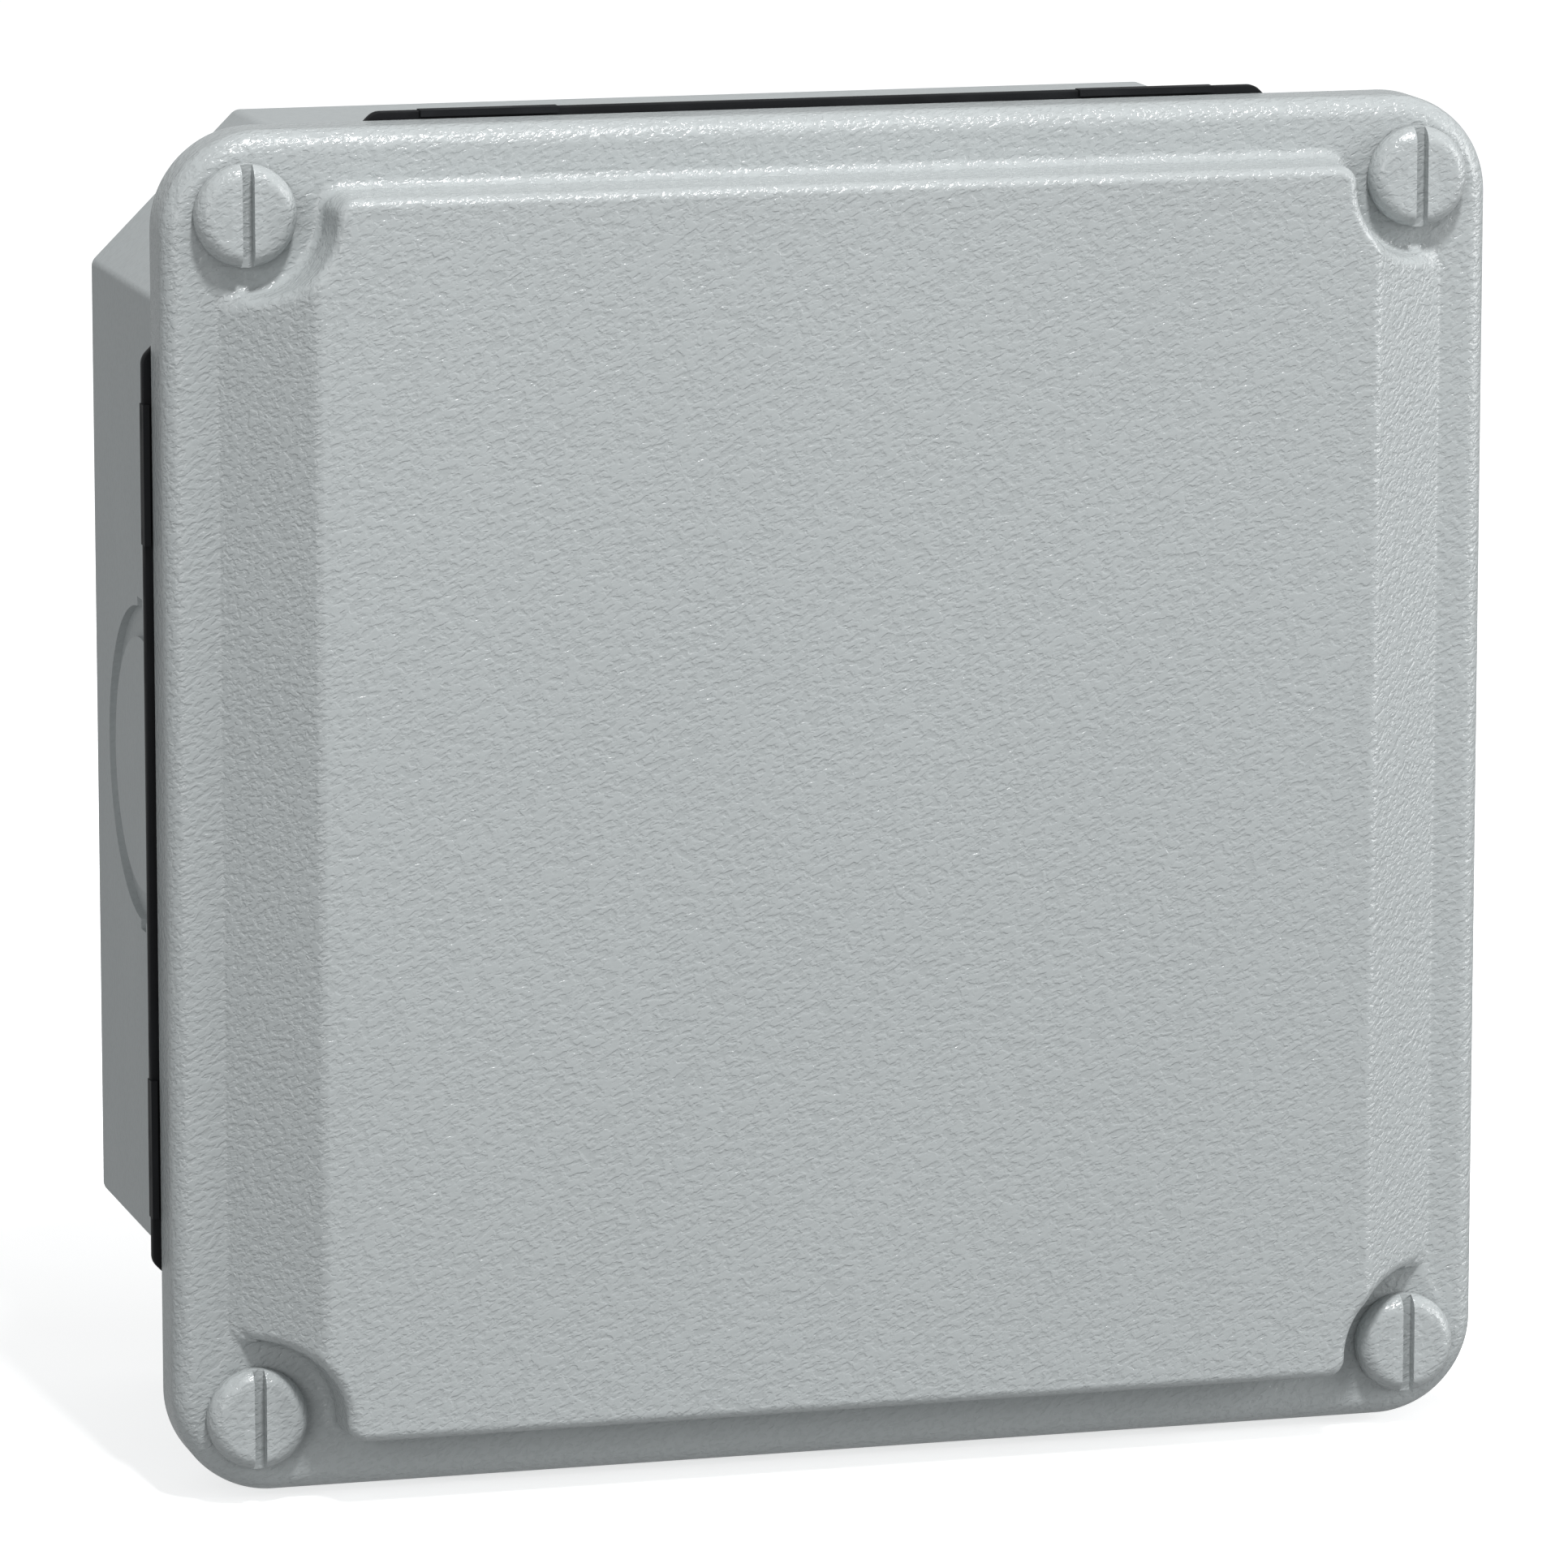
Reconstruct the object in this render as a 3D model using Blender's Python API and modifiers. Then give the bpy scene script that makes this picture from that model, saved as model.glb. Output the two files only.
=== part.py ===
"""Square wall-mounted junction box: tub, seal, screwed cover, rail and terminals.

The back of the tub lies in the plane Y = 0, the cover looks along -Y and +Z is up.
A "front" distance is measured from the wall towards the viewer, so its Y is negative.
"""

import math

import bmesh
import bpy
from mathutils import Matrix

# ------------------------------------------------------------------ driving dimensions, metres
GAP = 0.0003
OVERLAP = 0.0010

COVER_HALF = 0.085
COVER_CORNER = 0.0125
COVER_WALL = 0.0026
COVER_BACK = 0.0626
RIM_START = 0.0680
RIM_ROUND = 0.0028
RIM_FACE = RIM_START + RIM_ROUND
RIM_UNDERSIDE = RIM_FACE - COVER_WALL

PANEL_RISE = 0.0082
PANEL_WALL = 0.0025
PANEL_HALF = 0.07905
PANEL_ROUND = 0.0014
PANEL_RUN = 0.00305
PANEL_INNER_RUN = 0.0036
RAMP_FOOT = 0.0785
RAMP_TOP = 0.0677
CREASE_BEVEL = 0.0005

SCREW_PITCH_HALF = 0.075
CORNER_SCOOP = 0.0084
CORNER_ROUND = 0.0040

TUB_HALF = 0.07975
TUB_FLAT_HALF = 0.06076
TUB_RIDGE = 0.0016
TUB_WALL = 0.0030
TUB_BACK_CHAMFER = 0.0008
FLANGE_HALF = 0.0825
FLANGE_CORNER = 0.010
FLANGE_FRONT = 0.0607
FLANGE_THICK = 0.0035

SEAL_HALF = 0.086
SEAL_FLAT_HALF = 0.05585
SEAL_END_RADIUS = 0.0021
SEAL_INNER_HALF = 0.0772
SEAL_INNER_FLAT_HALF = 0.0598
SEAL_BACK = FLANGE_FRONT + GAP
SEAL_FRONT = COVER_BACK - GAP
LIP_START = 0.0335
LIP_END = 0.0510
LIP_OUTER = 0.0861
LIP_FRONT = COVER_BACK + 0.0005
SEAL_RIB_HALF = 0.0806
SEAL_RIB_FLAT_HALF = 0.0598
SEAL_RIB_THICK = 0.0014

COVER_BOSS_RADIUS = 0.0048
COVER_BORE = 0.00275
RETAINER_POCKET_RADIUS = 0.0040
RETAINER_POCKET_DEPTH = 0.0040

SCREW_HEAD_RADIUS = 0.00635
SCREW_HEAD_TOP = 0.0740
SCREW_HEAD_ROUND = 0.0020
SCREW_SHANK_RADIUS = 0.0023
SCREW_TIP = 0.0532
SCREW_CHAMFER = 0.0008
SLOT_WIDTH = 0.0015
SLOT_DEPTH = 0.0017
RETAINER_RADIUS = 0.0037
RETAINER_BORE = 0.0026
RETAINER_BACK = 0.0612
RETAINER_THICK = 0.0012
INSERT_RADIUS = 0.0035
INSERT_BORE = 0.0026
INSERT_FRONT = FLANGE_FRONT - 0.0002
INSERT_BACK = 0.0520
INSERT_BOSS_RADIUS = 0.0058
INSERT_BOSS_BACK = 0.0500

KNOCKOUT_FRONT = 0.02875
KNOCKOUT_OUTER = 0.02025
KNOCKOUT_INNER = 0.0163
KNOCKOUT_DEPTH = 0.0010
NOTCH_HALF = 0.0015
NOTCH_RISE = 0.00115

FIXING_OFFSET = 0.058
FIXING_COLUMN_RADIUS = 0.0068
FIXING_COLUMN_FRONT = 0.0095
FIXING_BORE = 0.0024
FIXING_POCKET_RADIUS = 0.0046
FIXING_POCKET_BACK = 0.0050
CAP_HEAD_RADIUS = 0.0060
CAP_HEAD_THICK = 0.0014
CAP_CHAMFER = 0.0005
CAP_PLUG_BACK = FIXING_POCKET_BACK + 0.0015

RAIL_LENGTH = 0.118
RAIL_HALF_HEIGHT = 0.0175
RAIL_WEB_HALF = 0.0125
RAIL_SHEET = 0.0010
RAIL_DEPTH = 0.0075
RAIL_BACK = 0.0083
RAIL_FRONT = RAIL_BACK + RAIL_DEPTH
RAIL_SCREW_OFFSET = 0.045
RAIL_POST_RADIUS = 0.0050
RAIL_POST_FRONT = RAIL_BACK - GAP
RAIL_BORE = 0.0022
RAIL_BORE_BACK = 0.0020
RAIL_SCREW_HEAD = 0.0042
RAIL_SCREW_HEAD_THICK = 0.0024
RAIL_SCREW_CHAMFER = 0.0010
RAIL_SCREW_SHANK = 0.0018
RAIL_SCREW_TIP = 0.0028
DRIVER_SLOT_WIDTH = 0.0008
DRIVER_SLOT_DEPTH = 0.0009
FOOT_GRIP = 0.0016
FOOT_LIP = 0.0014
FOOT_REACH = 0.0020

TERMINAL_WIDTH = 0.0062
TERMINAL_PITCH = TERMINAL_WIDTH + GAP
TERMINAL_HALF_HEIGHT = 0.0225
TERMINAL_FRONT = 0.0490
TERMINAL_SIDE_WALL = 0.0009
TERMINAL_HIP = 0.0050
TERMINAL_SHOULDER = 0.0090
TERMINAL_STEP = 0.0016
TERMINAL_RIDGE_HALF = 0.0055
CHAMBER_BACK = 0.0255
CHAMBER_FRONT = 0.0345
CHAMBER_HALF = 0.0160
WIRE_FRONT = 0.0290
WIRE_BORE = 0.0017
BAR_BORE = 0.0016
BAR_BORE_LENGTH = 0.0120
CLAMP_OFFSET = 0.0115
CLAMP_HEAD_RADIUS = 0.0019
CLAMP_SHANK_RADIUS = 0.0011
CLAMP_HEAD_FRONT = 0.0405
CLAMP_HEAD_THICK = 0.0018
CLAMP_TIP = 0.0312
END_PLATE_THICK = 0.0015
END_STOP_WIDTH = 0.0080
END_STOP_FRONT = 0.0300
END_STOP_SHOULDER = 0.0040
END_SCREW_HEAD = 0.0028
END_SCREW_HEAD_THICK = 0.0023
END_SCREW_SHANK = 0.0015
END_SCREW_SINK = 0.0004

FINE = 40
MEDIUM = 24
SMALL = 16
COARSE = 12

TERMINALS = (
    ("line_1", (0.36, 0.37, 0.37)),
    ("line_2", (0.36, 0.37, 0.37)),
    ("neutral", (0.05, 0.20, 0.52)),
    ("earth", (0.16, 0.42, 0.10)),
)
CORNERS = (
    ("upper_left", -1, 1),
    ("upper_right", 1, 1),
    ("lower_left", -1, -1),
    ("lower_right", 1, -1),
)


# ------------------------------------------------------------------ scene and materials
def clear_scene():
    """Remove every object that the file opened with."""
    for item in list(bpy.data.objects):
        bpy.data.objects.remove(item, do_unlink=True)


def new_collection(name):
    """Make a collection under the scene's own."""
    group = bpy.data.collections.new(name)
    bpy.context.scene.collection.children.link(group)
    return group


def material(name, colour, roughness, metallic=0.0):
    """Return a Principled material, made once for each name."""
    existing = bpy.data.materials.get(name)
    if existing:
        return existing
    made = bpy.data.materials.new(name)
    made.use_nodes = True
    shader = made.node_tree.nodes["Principled BSDF"]
    shader.inputs["Base Color"].default_value = (*colour, 1.0)
    shader.inputs["Roughness"].default_value = roughness
    shader.inputs["Metallic"].default_value = metallic
    made.diffuse_color = (*colour, 1.0)
    return made


def grey_plastic():
    """Light grey moulded plastic of the casing."""
    return material("light_grey_plastic", (0.43, 0.455, 0.46), 0.38)


def black_rubber():
    """Near-black rubber of the seal."""
    return material("black_rubber", (0.006, 0.007, 0.009), 0.55)


def brass():
    """Yellow brass."""
    return material("brass", (0.72, 0.50, 0.22), 0.3, 1.0)


def zinc_steel():
    """Zinc-plated steel."""
    return material("zinc_steel", (0.60, 0.62, 0.64), 0.32, 1.0)


def white_nylon():
    """Natural nylon of the screws' retaining washers."""
    return material("white_nylon", (0.75, 0.74, 0.70), 0.45)


def dark_polyamide():
    """Dark grey polyamide of the end plate and end stops."""
    return material("end_stop_grey", (0.30, 0.31, 0.31), 0.45)


# ------------------------------------------------------------------ mesh helpers
def add_object(name, mesh, group, finish=None):
    """Put a mesh into a collection as a named object."""
    item = bpy.data.objects.new(name, mesh)
    group.objects.link(item)
    if finish:
        mesh.materials.clear()
        mesh.materials.append(finish)
    return item


def finish_mesh(name, bm, smooth_angle=35.0):
    """Turn a bmesh into a mesh with its faces pointing out and its round sides shaded smooth."""
    bmesh.ops.recalc_face_normals(bm, faces=bm.faces)
    mesh = bpy.data.meshes.new(name)
    bm.to_mesh(mesh)
    bm.free()
    mesh.shade_smooth()
    mesh.set_sharp_from_angle(angle=math.radians(smooth_angle))
    return mesh


def add_box(bm, low, high):
    """Add a box between two corners given as (x, front, z)."""
    centre = [(a + b) / 2 for a, b in zip(low, high)]
    size = [abs(b - a) for a, b in zip(low, high)]
    place = Matrix.Translation((centre[0], -centre[1], centre[2]))
    place = place @ Matrix.Diagonal((*size, 1.0))
    bmesh.ops.create_cube(bm, size=1.0, matrix=place)


def add_rod(bm, centre, radius, length, segments, turn=None):
    """Add a closed cylinder centred on (x, front, z), upright unless turned."""
    place = Matrix.Translation((centre[0], -centre[1], centre[2]))
    if turn:
        place = place @ turn
    bmesh.ops.create_cone(
        bm, cap_ends=True, segments=segments, radius1=radius, radius2=radius, depth=length, matrix=place
    )


def add_post(bm, x, z, radius, back, front, segments=SMALL):
    """Add a cylinder along Y between two front distances."""
    centre = (x, (back + front) / 2, z)
    add_rod(bm, centre, radius, front - back, segments, Matrix.Rotation(math.pi / 2, 4, "X"))


def boolean(target, tool, operation):
    """Cut or join a target with a tool object, which is kept as a hidden wire."""
    tool.hide_render = True
    tool.display_type = "WIRE"
    step = target.modifiers.new(operation.lower(), "BOOLEAN")
    step.operation = operation
    step.object = tool
    step.solver = "EXACT"


def tool_object(name, bm, group):
    """Make a cutter or a joined shape out of a bmesh."""
    return add_object(name, finish_mesh(name, bm), group)


def turned(name, profile, group, finish, place, steps=MEDIUM, closed=False):
    """Turn a profile of (radius, height) pairs about the local Z, which looks along -Y.

    The profile runs down the outer side, and a closed one comes back up its bore.
    """
    mesh = bpy.data.meshes.new(name)
    edges = [(i, i + 1) for i in range(len(profile) - 1)]
    if closed:
        edges.append((len(profile) - 1, 0))
    mesh.from_pydata([(radius, 0.0, height) for radius, height in profile], edges, [])
    item = add_object(name, mesh, group, finish)
    item.location = (place[0], -place[1], place[2])
    item.rotation_euler = (math.pi / 2, 0.0, 0.0)
    screw = item.modifiers.new("turn", "SCREW")
    screw.axis = "Z"
    screw.steps = steps
    screw.render_steps = steps
    screw.use_merge_vertices = True
    screw.merge_threshold = 0.00001
    screw.use_smooth_shade = True
    return item


def ring_profile(radius, bore, back, front):
    """Closed section of a plain ring."""
    return [(radius, front), (radius, back), (bore, back), (bore, front)]


def plate(name, outline, width, x, group, finish):
    """Extrude an outline of (z, front) pairs along X into a plate centred on x."""
    curve = bpy.data.curves.new(name + "_outline", "CURVE")
    curve.dimensions = "2D"
    curve.fill_mode = "BOTH"
    curve.extrude = width / 2
    spline = curve.splines.new("POLY")
    spline.points.add(len(outline) - 1)
    for point, (height, front) in zip(spline.points, outline):
        point.co = (height, -front, 0.0, 1.0)
    spline.use_cyclic_u = True
    sketch = bpy.data.objects.new(name + "_outline", curve)
    bpy.context.scene.collection.objects.link(sketch)
    bpy.context.view_layer.update()
    evaluated = sketch.evaluated_get(bpy.context.evaluated_depsgraph_get())
    mesh = bpy.data.meshes.new_from_object(evaluated)
    bpy.data.objects.remove(sketch, do_unlink=True)
    bm = bmesh.new()
    bm.from_mesh(mesh)
    bpy.data.meshes.remove(mesh)
    bmesh.ops.remove_doubles(bm, verts=bm.verts, dist=0.000001)
    bmesh.ops.dissolve_limit(bm, angle_limit=math.radians(1), verts=bm.verts, edges=bm.edges)
    swap = Matrix(((0, 0, -1, 0), (0, 1, 0, 0), (1, 0, 0, 0), (0, 0, 0, 1)))
    bmesh.ops.transform(bm, matrix=swap, verts=bm.verts)
    item = add_object(name, finish_mesh(name, bm), group, finish)
    item.location = (x, 0.0, 0.0)
    return item


# ------------------------------------------------------------------ outlines
def arc(centre, radius, start, end, steps):
    """Points on an arc in the X-Z plane, both ends included, with angles in degrees."""
    points = []
    for i in range(steps + 1):
        angle = math.radians(start + (end - start) * i / steps)
        points.append((centre[0] + radius * math.cos(angle), centre[1] + radius * math.sin(angle)))
    return points


def four_quadrants(quarter):
    """Mirror a first-quadrant outline, from its +X end to its +Z end, into a closed ring."""
    back = quarter[::-1]
    ring = list(quarter)
    ring += [(-x, z) for x, z in back]
    ring += [(-x, -z) for x, z in quarter]
    ring += [(x, -z) for x, z in back]
    return ring


def rounded_square(half, radius, steps):
    """Ring of a square with round corners."""
    centre = (half - radius, half - radius)
    return four_quadrants(arc(centre, radius, 0, 90, steps))


def octagon(half, flat_half, ridge, steps=3):
    """Ring of a square with 45 degree corners, whose ridges are rounded."""
    tangent = ridge * math.tan(math.radians(22.5))
    centre = (half - ridge, flat_half - tangent)
    lower = arc(centre, ridge, 0, 45, steps)
    upper = [(z, x) for x, z in reversed(lower)]
    return four_quadrants(lower + upper)


def block_ring(run):
    """Ring of the raised panel's outline, moved inwards by run.

    The outline scoops around each cover screw, and each ring has a point where it
    crosses the line on which the side ramp meets the panel.
    """
    screw = (SCREW_PITCH_HALF, SCREW_PITCH_HALF)
    side = PANEL_HALF - CORNER_ROUND
    reach = math.sqrt((CORNER_SCOOP + CORNER_ROUND) ** 2 - (side - screw[0]) ** 2)
    near = (side, screw[1] - reach)
    far = (near[1], near[0])
    round_radius = max(CORNER_ROUND - run, 0.0003)
    scoop = CORNER_SCOOP + run
    crease = -180 + math.degrees(math.acos((screw[0] - RAMP_TOP) / scoop))
    quarter = arc(near, round_radius, 0, 90, 4)
    quarter += arc(screw, scoop, -90, crease, 4)[1:]
    quarter += arc(screw, scoop, crease, -180, 5)[1:]
    quarter += arc(far, round_radius, 0, 90, 4)[1:]
    return four_quadrants(quarter)


CREASE_INDEX = 8
QUARTER_COUNT = 18


def wall_share():
    """How much each ring point belongs to the scooped wall, against the side ramp."""
    quarter = [0.0, 0.15, 0.5, 0.85] + [1.0] * (QUARTER_COUNT - 4)
    back = quarter[::-1]
    return quarter + back + quarter + back


def panel_rise(x):
    """Height of the raised panel and its two side ramps above the rim at a given X."""
    share = (RAMP_FOOT - abs(x)) / (RAMP_FOOT - RAMP_TOP)
    return PANEL_RISE * min(max(share, 0.0), 1.0)


def at_front(ring, front):
    """Lift a flat ring to one front distance."""
    return [(x, -front, z) for x, z in ring]


def foot_ring(run, lift):
    """Ring in the concave round at the foot of the panel's wall."""
    points = []
    for (x, z), share in zip(block_ring(run), wall_share()):
        rise = panel_rise(x)
        wall = min(lift, rise / 2)
        points.append((x, -(RIM_FACE + share * wall + (1 - share) * rise), z))
    return points


def crest_ring(run, drop):
    """Ring in the convex round at the top of the panel's wall."""
    points = []
    for (x, z), share in zip(block_ring(run), wall_share()):
        rise = panel_rise(x)
        wall = max(rise - drop, rise / 2)
        points.append((x, -(RIM_FACE + share * wall + (1 - share) * rise), z))
    return points


# ------------------------------------------------------------------ lofts
def skin(bm, rings):
    """Join closed rings of equal length in order and return their vertices."""
    loops = [[bm.verts.new(point) for point in ring] for ring in rings]
    for near, far in zip(loops, loops[1:]):
        for i in range(len(near)):
            j = (i + 1) % len(near)
            bm.faces.new((near[i], near[j], far[j], far[i]))
    return loops


def close_flat(bm, loop):
    """Close a ring with one flat face."""
    bm.faces.new(loop)


def close_panel(bm, loop):
    """Close a panel ring with the flat panel and its two ramps, and return both creases."""
    right_low = 4 * QUARTER_COUNT - 1 - CREASE_INDEX
    left_high = 2 * QUARTER_COUNT - 1 - CREASE_INDEX
    left_low = 2 * QUARTER_COUNT + CREASE_INDEX
    bm.faces.new(loop[right_low:] + loop[:CREASE_INDEX + 1])
    bm.faces.new(loop[left_high:left_low + 1])
    bm.faces.new(loop[CREASE_INDEX:left_high + 1] + loop[left_low:right_low + 1])
    right = bm.edges.get((loop[CREASE_INDEX], loop[right_low]))
    left = bm.edges.get((loop[left_high], loop[left_low]))
    return [right, left]


def tube_between(bm, outer, inner, back, front):
    """Add a closed ring-shaped wall between an outer and an inner outline."""
    rings = [at_front(outer, back), at_front(outer, front), at_front(inner, front), at_front(inner, back)]
    loops = [[bm.verts.new(point) for point in ring] for ring in rings]
    for near, far in zip(loops, loops[1:] + loops[:1]):
        for i in range(len(near)):
            j = (i + 1) % len(near)
            bm.faces.new((near[i], near[j], far[j], far[i]))


# ------------------------------------------------------------------ cover
def cover_rings():
    """All rings of the cover, from the front panel over the rim to the underside."""
    steps = QUARTER_COUNT - 1
    quarter_turn = [math.radians(angle) for angle in (0, 30, 60, 90)]
    front = []
    for turn in quarter_turn:
        run = PANEL_ROUND * math.sin(turn)
        front.append(foot_ring(run, PANEL_ROUND * (1 - math.cos(turn))))
    for turn in quarter_turn:
        run = PANEL_RUN - PANEL_ROUND * math.cos(turn)
        front.append(crest_ring(run, PANEL_ROUND * (1 - math.sin(turn))))
    rim = []
    for i in range(6):
        turn = math.radians(18 * i)
        inset = RIM_ROUND * (1 - math.cos(turn))
        outline = rounded_square(COVER_HALF - inset, COVER_CORNER - inset, steps)
        rim.append(at_front(outline, RIM_START + RIM_ROUND * math.sin(turn)))
    inner_half = COVER_HALF - COVER_WALL
    inner_outline = rounded_square(inner_half, COVER_CORNER - COVER_WALL, steps)
    outer_outline = rounded_square(COVER_HALF, COVER_CORNER, steps)
    inner_block = block_ring(PANEL_INNER_RUN)
    ceiling = [(x, -(RIM_FACE + panel_rise(x) - PANEL_WALL), z) for x, z in inner_block]
    rings = front[::-1] + rim[::-1]
    rings.append(at_front(outer_outline, COVER_BACK))
    rings.append(at_front(inner_outline, COVER_BACK))
    rings.append(at_front(inner_outline, RIM_UNDERSIDE))
    rings.append(at_front(inner_block, RIM_UNDERSIDE))
    rings.append(ceiling)
    return rings


def make_cover(parts, cutters):
    """Square cover with a round rim, a raised panel, screw bosses and a seal rib behind."""
    bm = bmesh.new()
    loops = skin(bm, cover_rings())
    creases = close_panel(bm, loops[0])
    close_panel(bm, loops[-1])
    bmesh.ops.bevel(
        bm, geom=creases, offset=CREASE_BEVEL, segments=2, profile=0.5, affect="EDGES", clamp_overlap=True
    )
    cover = add_object("cover", finish_mesh("cover", bm), parts, grey_plastic())

    rib = bmesh.new()
    rib_outer = octagon(SEAL_RIB_HALF, SEAL_RIB_FLAT_HALF, TUB_RIDGE, 1)
    rib_inner = octagon(
        SEAL_RIB_HALF - SEAL_RIB_THICK, SEAL_RIB_FLAT_HALF - SEAL_RIB_THICK * 0.41, TUB_RIDGE, 1
    )
    tube_between(rib, rib_outer, rib_inner, COVER_BACK, RIM_UNDERSIDE + OVERLAP)
    boolean(cover, tool_object("cover_seal_rib", rib, cutters), "UNION")

    bosses = bmesh.new()
    pockets = bmesh.new()
    bores = bmesh.new()
    boss_back = FLANGE_FRONT + GAP
    pocket_front = boss_back + RETAINER_POCKET_DEPTH
    for _, side, level in CORNERS:
        x = side * SCREW_PITCH_HALF
        z = level * SCREW_PITCH_HALF
        add_post(bosses, x, z, COVER_BOSS_RADIUS, boss_back, RIM_UNDERSIDE + OVERLAP, MEDIUM)
        add_post(pockets, x, z, RETAINER_POCKET_RADIUS, boss_back - OVERLAP, pocket_front)
        add_post(bores, x, z, COVER_BORE, COVER_BACK, RIM_FACE + OVERLAP)
    boolean(cover, tool_object("cover_bosses", bosses, cutters), "UNION")
    boolean(cover, tool_object("cover_pockets", pockets, cutters), "DIFFERENCE")
    boolean(cover, tool_object("cover_bores", bores, cutters), "DIFFERENCE")


# ------------------------------------------------------------------ seal
def make_seal(parts, cutters):
    """Flat rubber seal around the tub's mouth with eight lips over the cover's edge."""
    tangent = SEAL_END_RADIUS * math.tan(math.radians(22.5))
    outer = octagon(SEAL_HALF, SEAL_FLAT_HALF + tangent, SEAL_END_RADIUS, 4)
    inner = octagon(SEAL_INNER_HALF, SEAL_INNER_FLAT_HALF, TUB_RIDGE, 4)
    bm = bmesh.new()
    tube_between(bm, outer, inner, SEAL_BACK, SEAL_FRONT)
    seal = add_object("cover_seal", finish_mesh("cover_seal", bm), parts, black_rubber())

    lips = bmesh.new()
    low = COVER_HALF + GAP
    for sign in (-1, 1):
        for start, end in ((LIP_START, LIP_END), (-LIP_END, -LIP_START)):
            add_box(lips, (sign * low, SEAL_BACK, start), (sign * LIP_OUTER, LIP_FRONT, end))
            add_box(lips, (start, SEAL_BACK, sign * low), (end, LIP_FRONT, sign * LIP_OUTER))
    boolean(seal, tool_object("seal_lips", lips, cutters), "UNION")


# ------------------------------------------------------------------ tub
def tub_outline(inset):
    """Octagonal outline of the tub, moved inwards by inset."""
    flat = TUB_FLAT_HALF - inset * math.tan(math.radians(22.5))
    return octagon(TUB_HALF - inset, flat, TUB_RIDGE)


def make_tub(parts, cutters):
    """Octagonal tub with a front flange, insert bosses, fixing columns and rail posts."""
    flange = rounded_square(FLANGE_HALF, FLANGE_CORNER, 7)
    flange_back = FLANGE_FRONT - FLANGE_THICK
    rings = [
        at_front(tub_outline(TUB_BACK_CHAMFER), 0.0),
        at_front(tub_outline(0.0), TUB_BACK_CHAMFER),
        at_front(tub_outline(0.0), flange_back),
        at_front(flange, flange_back),
        at_front(flange, FLANGE_FRONT),
        at_front(tub_outline(TUB_WALL), FLANGE_FRONT),
        at_front(tub_outline(TUB_WALL), TUB_WALL),
    ]
    bm = bmesh.new()
    loops = skin(bm, rings)
    close_flat(bm, loops[0])
    close_flat(bm, loops[-1])
    tub = add_object("tub", finish_mesh("tub", bm), parts, grey_plastic())

    posts = bmesh.new()
    bores = bmesh.new()
    pockets = bmesh.new()
    for _, side, level in CORNERS:
        x = side * SCREW_PITCH_HALF
        z = level * SCREW_PITCH_HALF
        add_post(posts, x, z, INSERT_BOSS_RADIUS, INSERT_BOSS_BACK, FLANGE_FRONT - OVERLAP)
        add_post(bores, x, z, INSERT_RADIUS + GAP, INSERT_BACK - GAP, FLANGE_FRONT + OVERLAP)
        x = side * FIXING_OFFSET
        z = level * FIXING_OFFSET
        add_post(posts, x, z, FIXING_COLUMN_RADIUS, TUB_WALL / 2, FIXING_COLUMN_FRONT)
        add_post(bores, x, z, FIXING_BORE, -OVERLAP, FIXING_COLUMN_FRONT + OVERLAP)
        add_post(pockets, x, z, FIXING_POCKET_RADIUS, FIXING_POCKET_BACK, FIXING_COLUMN_FRONT + OVERLAP)
    for side in (-1, 1):
        x = side * RAIL_SCREW_OFFSET
        add_post(posts, x, 0.0, RAIL_POST_RADIUS, TUB_WALL / 2, RAIL_POST_FRONT)
        add_post(bores, x, 0.0, RAIL_BORE, RAIL_BORE_BACK, RAIL_POST_FRONT + OVERLAP)
    boolean(tub, tool_object("tub_posts", posts, cutters), "UNION")
    boolean(tub, tool_object("tub_bores", bores, cutters), "DIFFERENCE")
    boolean(tub, tool_object("tub_pockets", pockets, cutters), "DIFFERENCE")
    cut_knockouts(tub, cutters)


def cut_knockouts(tub, cutters):
    """Sink the break-out ring and its two lever notches into all four walls."""
    profile = ring_profile(KNOCKOUT_OUTER, KNOCKOUT_INNER, -KNOCKOUT_DEPTH, KNOCKOUT_DEPTH)
    seat = Matrix.Translation((TUB_HALF, -KNOCKOUT_FRONT, 0.0)) @ Matrix.Rotation(math.pi / 2, 4, "Y")
    for index in range(4):
        turn = Matrix.Rotation(index * math.pi / 2, 4, "Y")
        name = "knockout_groove_%d" % (index + 1)
        groove = turned(name, profile, cutters, None, (0, 0, 0), FINE, closed=True)
        groove.matrix_world = turn @ seat
        boolean(tub, groove, "DIFFERENCE")
        notches = bmesh.new()
        for level in (-1, 1):
            inner = level * (KNOCKOUT_OUTER - OVERLAP)
            outer = level * (KNOCKOUT_OUTER + NOTCH_RISE)
            add_box(
                notches,
                (TUB_HALF - KNOCKOUT_DEPTH, KNOCKOUT_FRONT - NOTCH_HALF, inner),
                (TUB_HALF + KNOCKOUT_DEPTH, KNOCKOUT_FRONT + NOTCH_HALF, outer),
            )
        bmesh.ops.transform(notches, matrix=turn, verts=notches.verts)
        name = "knockout_notches_%d" % (index + 1)
        boolean(tub, tool_object(name, notches, cutters), "DIFFERENCE")


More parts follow.
